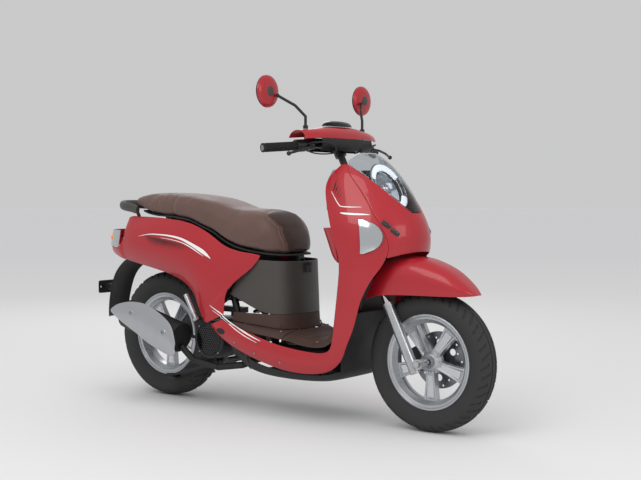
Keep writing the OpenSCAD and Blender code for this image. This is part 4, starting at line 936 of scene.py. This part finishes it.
@dataclass
class Signals:
    """The front and rear signal lenses, with what shows inside them, and the tail lamp."""

    def build(self) -> None:
        """Make lenses, reflectors and bulbs."""
        Panel("signal_lenses", "chassis", Look.CLEAR, "clear_lens", 0.6).build()
        Panel("tail_lamp", "chassis", Look.RED_LENS, "red_lens", 0.8).build()
        bm = copied("signal_lenses")
        bm.normal_update()
        for vert in bm.verts:
            vert.co += Vector((math.copysign(0.004, -vert.co.x), math.copysign(0.0045, vert.co.y), 0))
        finished("signal_reflectors", bm, Look.REFLECTOR, "chassis")
        for side in SIDES:
            bm = bmesh.new()
            for at in (on_nose(side * 59, 676, -8), mm(-812, side * 96, 640)):
                bulb = bmesh.ops.create_uvsphere(bm, u_segments=20, v_segments=12, radius=0.0075)["verts"]
                bmesh.ops.scale(bm, vec=(1.0, 1.0, 1.5), verts=bulb)
                bmesh.ops.translate(bm, vec=at, verts=bulb)
            finished(f"signal_bulbs_{word_for(side)}", bm, Look.AMBER, "chassis")


# ---- seat ----
NOSE_SEAM = ((594, 100), (639, 98), (694, 77), (727, 40), (755, 1), (762, -14))


@dataclass
class Seat:
    """The two-step cushion: vinyl over foam, swelled as cloth, with sewn channels and stitches."""

    shrink_mm: float = 5.0
    cap_mm: float = 7.0
    voxel_mm: float = 7.0
    frames: int = 16
    pressure: float = 4.0
    cross_seams: tuple[float, ...] = (-436.0, -516.0)

    def build(self) -> None:
        """Make the cushion, its dark nose panel and its stitches."""
        bm = copied("seat_cushion")
        bm.normal_update()
        for vert, normal in [(v, v.normal.copy()) for v in bm.verts]:
            vert.co -= normal * self.shrink_mm * 0.001
        cushion = finished("seat_cover", bm, Look.VINYL, "seat", ["seat_cushion"], 180)
        self.remesh(cushion)
        self.swell(cushion)
        self.sew(cushion)
        cushion.data.materials.append(Look.VINYL_DARK.material())
        for face in cushion.data.polygons:
            at = face.center * 1000
            if at.x > lookup(at.z, NOSE_SEAM):
                face.material_index = 1
        cushion.data.polygons.foreach_set("use_smooth", [True] * len(cushion.data.polygons))
        subdivided(cushion, 1)
        self.stitches(cushion)

    def remesh(self, cushion: Object) -> None:
        """Remesh the cushion evenly."""
        even = cushion.modifiers.new("even", "REMESH")
        even.mode = "VOXEL"
        even.voxel_size = self.voxel_mm * 0.001
        self.apply(cushion)
        bm = bmesh.new()
        bm.from_mesh(cushion.data)
        for _ in range(3):
            bmesh.ops.smooth_vert(bm, verts=bm.verts, factor=0.5, use_axis_x=True, use_axis_y=True,
                                  use_axis_z=True)
        bm.to_mesh(cushion.data)
        bm.free()

    def apply(self, made: Object) -> None:
        """Apply a piece's modifiers to its mesh."""
        graph = bpy.context.evaluated_depsgraph_get()
        mesh = bpy.data.meshes.new_from_object(made.evaluated_get(graph))
        made.modifiers.clear()
        old, made.data = made.data, mesh
        mesh.name = made.name
        bpy.data.meshes.remove(old)

    def swell(self, cushion: Object) -> None:
        """Let the cover swell as cloth, and cap how far any point moves."""
        rest = [v.co.copy() for v in cushion.data.vertices]
        parent = cushion.parent
        cushion.parent = None
        cloth = cushion.modifiers.new("cloth", "CLOTH")
        cloth.settings.effector_weights.gravity = 0.0
        cloth.settings.use_pressure = True
        cloth.settings.uniform_pressure_force = self.pressure
        cloth.settings.quality = 6
        cloth.collision_settings.use_collision = False
        scene = bpy.context.scene
        for number in range(1, self.frames + 1):
            scene.frame_set(number)
        self.apply(cushion)
        scene.frame_set(1)
        cushion.parent = parent
        limit = self.cap_mm * 0.001
        for vert, start in zip(cushion.data.vertices, rest):
            move = vert.co - start
            if move.length > limit:
                vert.co = start + move.normalized() * limit

    def sew(self, cushion: Object) -> None:
        """Pull the cover in along its seams."""
        bm = bmesh.new()
        bm.from_mesh(cushion.data)
        bm.normal_update()
        for vert, normal in [(v, v.normal.copy()) for v in bm.verts]:
            at = vert.co * 1000
            away = min([abs(at.x - x) for x in self.cross_seams if at.z > 700]
                       + [abs(at.x - lookup(at.z, NOSE_SEAM)) * 0.8] + [99.0])
            vert.co -= normal * 0.0034 * math.exp(-((away / 7.0) ** 2))
        bm.to_mesh(cushion.data)
        bm.free()

    def stitches(self, cushion: Object) -> None:
        """Sew a row of stitches beside every seam."""
        bpy.context.view_layer.update()
        graph = bpy.context.evaluated_depsgraph_get()
        skin = BVHTree.FromObject(cushion, graph)
        bm = bmesh.new()
        for x in (self.cross_seams[0] + 7, self.cross_seams[1] - 7):
            self.sew_row(bm, [self.hit(skin, x, a) for a in range(4, 177, 2)])
        beside = [(z, lookup(z, NOSE_SEAM) - 7) for z in range(612, 752, 4)]
        right = [skin.ray_cast(mm(x, -300, z), Vector((0, 1, 0)))[:2] for z, x in beside]
        left = [skin.ray_cast(mm(x, 300, z), Vector((0, -1, 0)))[:2] for z, x in reversed(beside)]
        over = [skin.ray_cast(mm(-14, y, 900), Vector((0, 0, -1)))[:2] for y in range(-40, 41, 8)]
        self.sew_row(bm, right + over + left)
        finished("seat_stitches", bm, Look.THREAD, "seat")

    def hit(self, skin: BVHTree, x: float, angle: float) -> tuple[Optional[Vector], Optional[Vector]]:
        """Find the cover's surface over one line across the seat."""
        a = math.radians(angle)
        out = Vector((0, math.cos(a), math.sin(a)))
        return skin.ray_cast(mm(x, 0, 745) + out * 0.4, -out)[:2]

    def sew_row(self, bm: BMesh, row: Sequence[tuple[Optional[Vector], Optional[Vector]]]) -> None:
        """Sew short stitches along a row of points on the cover."""
        found = [(p, n) for p, n in row if p is not None]
        for (p, n), (q, _) in zip(found, found[1:]):
            run = q - p
            if not 0.0005 < run.length < 0.03:
                continue
            count = max(1, round(run.length / 0.007))
            for k in range(count):
                stitch = bmesh.new()
                boxed(stitch, mm(-2.2, -0.55, -0.5), mm(2.2, 0.55, 0.45))
                side = n.cross(run).normalized()
                turn = Matrix((run.normalized(), side, n)).transposed().to_4x4()
                join(bm, stitch, Matrix.Translation(p + run * (k + 0.5) / count) @ turn)


# ---- wheels ----
@dataclass
class Wheel:
    """A cast wheel of five recessed spokes and its tyre."""

    name: str
    body: str
    x: float
    z: float
    tyre_w: float
    rim_half: float
    hub_r: float
    spoke_y: float = 0.0
    rim_r: float = 166.0
    steps: int = 132

    def pose(self) -> Matrix:
        """Return the matrix that lays the turned shapes' Z along the axle, pointing left."""
        return Matrix.Translation(mm(self.x, 0, self.z)) @ QUARTER_TO_LEFT

    def build(self) -> None:
        """Make the tyre, the rim and the spokes."""
        self.tyre()
        self.rim()
        self.spokes()

    def tyre(self) -> None:
        """Spin the tyre and cut its tread."""
        half, crown, bead = self.tyre_w / 2, self.z, self.rim_r
        across = [k / 12 for k in range(-12, 13)]
        outer = []
        for u in across:
            lean = abs(u) * math.pi / 2 * 0.98
            y = half * math.copysign(math.sin(lean), u) if u else 0.0
            outer.append((crown - 0.3 - 34 * (1 - math.cos(lean)) ** 1.08, y))
        wall = [(crown - 47, half - 0.6), (crown - 58, half - 3), (bead + 9, self.rim_half + 6),
                (bead + 4, self.rim_half + 1.5), (bead + 1, self.rim_half - 1)]
        inner = [(bead - 5, self.rim_half - 6), (bead + 10, self.rim_half - 6), (crown - 40, half - 8),
                 (crown - 16, half * 0.5)]
        ring = ([(r, -y) for r, y in reversed(wall)] + outer + wall + inner
                + [(r, -y) for r, y in reversed(inner)])
        bm = bmesh.new()
        spun(bm, ring, self.steps, True)
        step = math.tau / self.steps
        grooves = []
        for face in bm.faces:
            at = face.calc_center_median()
            radius = math.hypot(at.x, at.y) * 1000
            if radius < crown - 30:
                continue
            row = int((math.atan2(at.y, at.x) % math.tau) / step + 0.001)
            u = abs(at.z * 1000) / half
            side = 3 if at.z > 0 else 0
            phase = (row + side) % 6
            if phase == 0 and 0.2 < u < 0.93 or phase == 3 and 0.5 < u < 0.96 or 0.12 < u < 0.2:
                grooves.append(face)
        bmesh.ops.inset_region(bm, faces=grooves, thickness=0.0011, depth=-0.0032, use_even_offset=True,
                               use_boundary=True)
        for vert in bm.verts:
            radius = math.hypot(vert.co.x, vert.co.y)
            if radius * 1000 > crown - 60:
                sweep = 0.16 * abs(vert.co.z * 1000 / half) ** 1.3
                angle = math.atan2(vert.co.y, vert.co.x) + sweep
                vert.co.x, vert.co.y = radius * math.cos(angle), radius * math.sin(angle)
        put(bm, self.pose())
        finished(f"{self.name}_tyre_tread", bm, Look.TYRE, self.body,
                 [f"{self.name}_tyre"], 38, True)
        self.wall_lines()

    def wall_lines(self) -> None:
        """Raise two fine rings on each wall of the tyre."""
        half, crown = self.tyre_w / 2, self.z
        bm = bmesh.new()
        for side in SIDES:
            for radius, y in ((crown - 50, half - 1.2), (self.rim_r + 12, self.rim_half + 7.4)):
                ring = bmesh.ops.create_circle(bm, segments=96, radius=radius * 0.001)["verts"]
                edges = list({e for v in ring for e in v.link_edges})
                grown = bmesh.ops.extrude_edge_only(bm, edges=edges)["geom"]
                fresh = [v for v in grown if isinstance(v, bmesh.types.BMVert)]
                bmesh.ops.scale(bm, vec=(1 + 2.2 / radius, 1 + 2.2 / radius, 1), verts=fresh)
                bmesh.ops.translate(bm, vec=(0, 0, side * y * 0.001), verts=ring + fresh)
        bmesh.ops.solidify(bm, geom=bm.faces[:], thickness=0.0016)
        put(bm, self.pose())
        finished(f"{self.name}_tyre_lines", bm, Look.TYRE, self.body, turn_out=True)

    def rim(self) -> None:
        """Spin the rim with its double lip."""
        r, h = self.rim_r, self.rim_half
        outline = [(r + 0.5, h + 0.6), (r - 3, h + 2), (r - 7, h + 1.2), (r - 9, h - 2), (r - 13, h - 3.4),
                   (r - 17, h - 4.2), (r - 20, h - 8), (r - 24, h - 13), (r - 31, h - 20), (r - 33, 0),
                   (r - 31, 20 - h), (r - 24, 13 - h), (r - 20, 8 - h), (r - 17, 4.2 - h), (r - 13, 3.4 - h),
                   (r - 9, 2 - h), (r - 7, -h - 1.2), (r - 3, -h - 2), (r + 0.5, -h - 0.6), (r + 0.4, 4 - h),
                   (r - 11, 7 - h), (r - 15, 15 - h), (r - 26, 22 - h), (r - 26, h - 22), (r - 15, h - 15),
                   (r - 11, h - 7), (r + 0.4, h - 4)]
        bm = bmesh.new()
        spun(bm, outline, 108, True)
        put(bm, self.pose())
        nodes = [f"{self.name}_rim"]
        rim = finished(f"{self.name}_wheel_rim", bm, Look.WHEEL, self.body, nodes, 30, True)
        bevelled(rim, 0.7)

    def spokes(self) -> None:
        """Make five wide spokes, each with a recessed face, and the hub between them."""
        inner, outer = self.hub_r - 8, self.rim_r - 30
        mid = self.spoke_y * 0.001
        bm = bmesh.new()
        faces_bm = bmesh.new()
        for k in range(5):
            turn = Matrix.Rotation(math.radians(k * 72 + 18), 4, "Z")
            spoke = bmesh.new()
            made = bmesh.ops.create_cube(spoke, size=1.0)["verts"]
            bmesh.ops.scale(spoke, vec=((outer - inner) * 0.001, 0.040, 0.026), verts=made)
            bmesh.ops.translate(spoke, vec=((outer + inner) * 0.0005, 0, mid), verts=made)
            edges = [e for e in {e for v in made for e in v.link_edges}
                     if abs(e.verts[0].co.x - e.verts[1].co.x) > 0.05]
            bmesh.ops.subdivide_edges(spoke, edges=edges, cuts=3, use_grid_fill=True)
            for vert in spoke.verts:
                t = (vert.co.x * 1000 - inner) / (outer - inner)
                vert.co.y *= mixed(0.74, 1.36, max(0.0, t) ** 1.5)
                vert.co.z = mid + (vert.co.z - mid) * mixed(1.25, 0.82, t)
            join(bm, spoke, turn)
            for side in SIDES:
                inlay = bmesh.new()
                grid = bmesh.ops.create_grid(inlay, x_segments=6, y_segments=2, size=0.5)["verts"]
                bmesh.ops.scale(inlay, vec=((outer - inner) * 0.00068, 0.0245, 1), verts=grid)
                bmesh.ops.translate(inlay, vec=((outer + inner) * 0.00052, 0, 0), verts=grid)
                for vert in grid:
                    t = (vert.co.x * 1000 - inner) / (outer - inner)
                    vert.co.y *= mixed(0.74, 1.36, max(0.0, t) ** 1.5)
                    vert.co.z = (self.spoke_y + side * (13 * mixed(1.25, 0.82, t) - 2.6)) * 0.001
                join(faces_bm, inlay, turn)
        bm.normal_update()
        wide = [f for f in bm.faces if abs(f.normal.z) > 0.85]
        bmesh.ops.inset_region(bm, faces=wide, thickness=0.0065, depth=0, use_even_offset=True)
        bmesh.ops.inset_region(bm, faces=wide, thickness=0.0016, depth=-0.0042, use_even_offset=True)
        put(bm, self.pose())
        name = f"{self.name}_wheel_spokes"
        bevelled(finished(name, bm, Look.WHEEL, self.body, (), 30, True), 1.3, 2, 28)
        bmesh.ops.solidify(faces_bm, geom=faces_bm.faces[:], thickness=0.0008)
        put(faces_bm, self.pose())
        finished(f"{self.name}_spoke_faces", faces_bm, Look.RECESS, self.body, turn_out=True)
        self.hub()

    def hub(self) -> None:
        """Turn the hub between the spokes."""
        y, r = self.spoke_y, self.hub_r
        bm = bmesh.new()
        spun(bm, [(9, y - 24), (r - 8, y - 24), (r - 4, y - 21), (r + 2, y - 12), (r + 9, y - 8), (r + 10, y),
                  (r + 9, y + 8), (r + 2, y + 12), (r - 4, y + 21), (r - 8, y + 24), (9, y + 24)], 48, True)
        put(bm, self.pose())
        hub = finished(f"{self.name}_wheel_hub", bm, Look.WHEEL, self.body, (), 30, True)
        bevelled(hub, 0.8)


# ---- controls ----
@dataclass
class Mirrors:
    """The two round mirrors: red shells, black rims, silvered glass and small caps."""

    x: float = 189.75
    y: float = 283.0
    z: float = 1178.2
    r: float = 57.0

    def build(self) -> None:
        """Make both mirrors."""
        for side, body in ((RIGHT, "right_mirror"), (LEFT, "left_mirror")):
            word = body.split("_")[0]
            pose = Matrix.Translation(mm(self.x, side * self.y, self.z)) @ QUARTER_ABOUT_Y
            r = self.r
            for name, outline, finish, slot, nodes in (
                ("shell", [(r - 1.5, -5), (r - 0.4, -3), (r - 1.5, 1), (r - 6, 5), (r - 15, 8.6),
                           (r - 27, 10.8), (22, 11.7), (0.01, 12), (0.01, 9), (22, 8.7), (r - 16, 6),
                           (r - 7, 2), (r - 3.4, -2)],
                 Look.RED, "body_red", [f"mirror_{word}"]),
                ("rim", [(r - 0.2, -3.6), (r - 0.4, -7), (r - 2.2, -9), (r - 4.6, -9.4), (r - 5, -7.5),
                         (r - 3, -5)],
                 Look.BLACK, "black_plastic", []),
                ("glass", [(0.01, -8.4), (r - 4, -8.2), (r - 4, -6), (0.01, -6)],
                 Look.MIRROR, "fork_chrome", []),
                ("cap", [(0.01, 13.4), (14, 13.2), (17.5, 12.2), (18.2, 10.6), (0.01, 10)],
                 Look.SATIN, "dark_plastic", []),
            ):
                bm = bmesh.new()
                spun(bm, outline, 64, True)
                put(bm, pose)
                finished(f"mirror_{name}_{word}", bm, finish, body, nodes, 40, True)


@dataclass
class Controls:
    """Grips, meter and cables on the handlebar.

    The bar is straight in the middle, then drops back and down to its end.
    """

    bend_y: float = 150.0
    end_y: float = 341.5
    bend: tuple[float, float] = (282.56, 993.19)
    back_mm: float = 74.0
    down_mm: float = 14.0

    def build(self) -> None:
        """Make the pieces on the handlebar."""
        self.grips()
        self.meter()
        self.cables()

    def along_bar(self, side: int, y: float) -> Vector:
        """Return the bar's middle at a distance from the scooter's middle."""
        t = max(0.0, (y - self.bend_y) / (self.end_y - self.bend_y))
        return mm(self.bend[0] - self.back_mm * t, side * y, self.bend[1] - self.down_mm * t)

    def grips(self) -> None:
        """Turn both grips with their rings and flanges."""
        for side, node, body in ((RIGHT, "throttle_grip", "throttle"), (LEFT, "left_grip", "steering")):
            low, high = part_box(node)
            ends = sorted((abs(low.y), abs(high.y)))
            a, b = self.along_bar(side, ends[0] * 1000 + 3), self.along_bar(side, ends[1] * 1000 - 3)
            length = (b - a).length * 1000
            outline = [(12.2, 0), (16.4, 0), (16.4, 4), (14.6, 5)]
            ring = 5.0
            while ring < length - 12:
                outline += [(14.6, ring + 0.4), (15.9, ring + 1.0), (15.9, ring + 3.2), (14.6, ring + 3.8)]
                ring += 4.6
            outline += [(14.6, length - 7), (16.0, length - 6), (16.4, length - 2.5), (15.6, length),
                        (12.2, length)]
            bm = bmesh.new()
            spun(bm, outline, 40, True)
            put(bm, aimed((b - a).normalized(), a))
            finished(f"{node}_rubber", bm, Look.GRIP, body, [node], 40, True)
            cap = bmesh.new()
            spun(cap, [(0.01, 1.5), (8, 1.4), (10.5, 0), (10.8, -4), (0.01, -4)], 32, False)
            put(cap, aimed((b - a).normalized(), b))
            finished(f"{node}_end", cap, Look.ZINC, body, turn_out=True)

    def meter(self) -> None:
        """Give the meter its dark dome."""
        Panel("meter", "steering", Look.DARK_LENS, "smoke_lens", 0.8, 2).build()

    def cables(self) -> None:
        """Loop the cables round the front of the handlebar."""
        for side in SIDES:
            loop = [mm(300, side * 188, 998), mm(330, side * 176, 1004), mm(352, side * 140, 1000),
                    mm(350, side * 96, 985), mm(330, side * 70, 974), mm(312, side * 62, 968)]
            tube(f"cable_loop_{word_for(side)}", loop, 3.0, Look.HOSE, "steering")
        thin = [mm(286, -214, 984), mm(300, -196, 966), mm(322, -160, 958), mm(330, -110, 962),
                mm(316, -70, 966)]
        tube("throttle_cable", thin, 2.4, Look.HOSE, "steering")


# ---- chassis ----
@dataclass
class Machinery:
    """The fan's grille, the exhaust shield, the belt case's bosses, the brake hose and their bolts."""

    crank: tuple[float, float] = (-218.25, 264.0)
    fan_y: float = -147.0
    comb_r: float = 60.0
    comb_pitch: float = 9.4

    def build(self) -> None:
        """Make the pieces of the drive, the exhaust and the fork."""
        self.grille()
        Panel("muffler_shield", "engine", Look.SHIELD, "shield_silver", 0.9).build()
        self.exhaust_bolts()
        self.case_bolts()
        self.fork()

    def grille(self) -> None:
        """Cover the fan with a honeycomb."""
        x0, z0 = self.crank
        bm = bmesh.new()
        pitch = self.comb_pitch
        for i in range(-8, 9):
            for j in range(-9, 10):
                x, z = (i + 0.5 * (j % 2)) * pitch, j * pitch * 0.866
                if math.hypot(x, z) > self.comb_r:
                    continue
                cell = bmesh.ops.create_circle(bm, cap_ends=True, segments=6,
                                               radius=pitch * 0.000577)["verts"]
                bmesh.ops.translate(bm, vec=(x * 0.001, z * 0.001, 0), verts=cell)
        bmesh.ops.remove_doubles(bm, verts=bm.verts, dist=2e-4)
        rims = set(bmesh.ops.inset_individual(bm, faces=bm.faces[:], thickness=0.0011,
                                              use_even_offset=True)["faces"])
        bmesh.ops.delete(bm, geom=[f for f in bm.faces if f not in rims], context="FACES")
        bmesh.ops.solidify(bm, geom=bm.faces[:], thickness=0.004)
        put(bm, Matrix.Translation(mm(x0, self.fan_y - 4.2, z0)) @ QUARTER_TO_RIGHT)
        finished("fan_honeycomb", bm, Look.GLOSS_BLACK, "engine", turn_out=True)
        ring = bmesh.new()
        spun(ring, [(62, -1), (62, 5), (65, 7), (71, 6), (74, 2), (74, -1)], 72, True)
        put(ring, Matrix.Translation(mm(x0, self.fan_y, z0)) @ QUARTER_TO_RIGHT)
        finished("fan_ring", ring, Look.BLACK, "engine", turn_out=True)

    def exhaust_bolts(self) -> None:
        """Bolt the shield on, with a raised ring round each bolt."""
        bolts = Fasteners("shield_bolts", "engine", Look.ZINC, "fork_silver")
        skin = surface_of("muffler_shield")
        for x, z in ((-565, 350), (-388, 286)):
            hit, out = seen_from_side(skin, x, z, RIGHT)
            if hit is not None:
                bolts.screw(hit, out, 5.5)
                bm = bmesh.new()
                spun(bm, [(8, -1), (8.6, 1.0), (10.4, 1.4), (12.4, 0.2), (12.6, -1)], 40, True)
                put(bm, aimed(out, hit))
                finished(f"shield_dimple_{abs(x)}", bm, Look.SHIELD, "engine", turn_out=True)
        bolts.done()

    def case_bolts(self) -> None:
        """Bolt the belt case and the fan cover, and raise the belt case's bosses and ribs."""
        bolts = Fasteners("case_bolts", "engine", Look.ZINC, "fork_silver")
        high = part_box("engine_case")[1]
        skin = surface_of("engine_case")
        for x, z in ((-160, 300), (-190, 205), (-270, 318), (-280, 206), (-400, 312), (-410, 198),
                     (-500, 300), (-510, 200), (-606, 278), (-600, 224)):
            hit, _ = seen_from_side(skin, x, z, LEFT)
            if hit is not None and hit.y > high.y - 0.03:
                bolts.hex(hit, Vector((0, 1, 0)), 8, 4)
        x0, z0 = self.crank
        for k in range(4):
            a = math.radians(45 + 90 * k)
            at = mm(x0 + 68 * math.cos(a), self.fan_y - 5.5, z0 + 68 * math.sin(a))
            bolts.screw(at, Vector((0, -1, 0)), 4)
        bolts.done()
        cover = bmesh.new()
        for (x, z), r in ((self.crank, 46), (REAR_AXLE, 44)):
            boss = bmesh.new()
            spun(boss, [(0.01, 1.5), (r * 0.3, 1.5), (r * 0.36, 3), (r * 0.8, 3), (r * 0.86, 1.4),
                        (r * 0.95, 1.2), (r, 0), (r, -1.5), (0.01, -1.5)], 56, True)
            join(cover, boss, Matrix.Translation(mm(x, high.y * 1000, z)) @ QUARTER_TO_LEFT)
        for k in range(6):
            rib = bmesh.new()
            boxed(rib, mm(-26, -2.2, -1), mm(26, 2.2, 2.0), 0.8)
            join(cover, rib, Matrix.Translation(mm(-345 - 22 * k, high.y * 1000, 258))
                 @ QUARTER_TO_LEFT @ Matrix.Rotation(math.radians(75), 4, "Z"))
        finished("belt_case_bosses", cover, Look.ENGINE, "engine", turn_out=True)

    def fork(self) -> None:
        """Add the axle's nuts, the brake hose and the caliper's bolts."""
        bolts = Fasteners("axle_nuts", "fork_lower", Look.ZINC, "fork_silver")
        for side in SIDES:
            bolts.hex(mm(FRONT_AXLE[0], side * 96, FRONT_AXLE[1]), Vector((0, side, 0)), 15, 8)
        bolts.done()
        low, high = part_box("brake_caliper")
        top = Vector(((low.x + high.x) / 2, high.y - 0.006, high.z - 0.006))
        hose = [top, top + Vector((-0.012, 0.012, 0.03)), top + Vector((-0.03, 0.016, 0.075)),
                top + Vector((-0.05, 0.008, 0.13)), top + Vector((-0.075, -0.004, 0.19))]
        tube("front_brake_hose", hose, 3.2, Look.HOSE, "fork_lower")
        pair = Fasteners("caliper_bolts", "fork_lower", Look.ZINC, "fork_silver")
        for z in (0.25, 0.75):
            at = Vector((mixed(low.x, high.x, 0.4), high.y, mixed(low.z, high.z, z)))
            pair.hex(at, Vector((0, 1, 0)), 8, 4)
        pair.done()


NODE_FINISHES = {
    Look.FRAME: ("main_frame", "steering_stem", "handlebar", "lever_brackets", "right_brake_lever",
                 "left_brake_lever", "side_stand", "centre_stand", "shock_absorber", "fuel_tank"),
    Look.BLACK: ("luggage_box", "fan_shroud", "battery", "seat_pan", "bag_hook"),
    Look.FORK: ("fork_sliders", "footpeg_right", "footpeg_left"),
    Look.CHROME: ("fork_tubes", "shock_rod"),
    Look.GREY_KEYS: ("horn_button", "signal_switch"),
    Look.RED_KEY: ("starter_button",),
    Look.DARK_CAST: ("brake_caliper",),
    Look.HEATPROOF: ("exhaust",),
    Look.ZINC: ("ignition_key",),
    Look.ENGINE: ("engine_case",),
    Look.DISC: ("brake_disc",),
    Look.SPRING: ("shock_spring",),
}


def dress_nodes() -> None:
    """Give each carried-over node its finish."""
    for finish, names in NODE_FINISHES.items():
        for name in names:
            mesh = frame["nodes"][name].data
            mesh.materials.clear()
            mesh.materials.append(finish.material())
            LOG.info("%s: %s", name, finish.name)


def main() -> None:
    """Build the scooter's looks, piece by piece."""
    logging.basicConfig(level=logging.INFO, format="%(message)s")
    Studio().build()
    dress_nodes()
    Bodywork().build()
    Headlight().build()
    Signals().build()
    Seat().build()
    Wheel("front", "front_wheel", *FRONT_AXLE, tyre_w=100, rim_half=33, hub_r=34).build()
    Wheel("rear", "rear_wheel", *REAR_AXLE, tyre_w=110, rim_half=37, hub_r=40).build()
    Mirrors().build()
    Controls().build()
    Machinery().build()


if __name__ == "__main__":
    main()
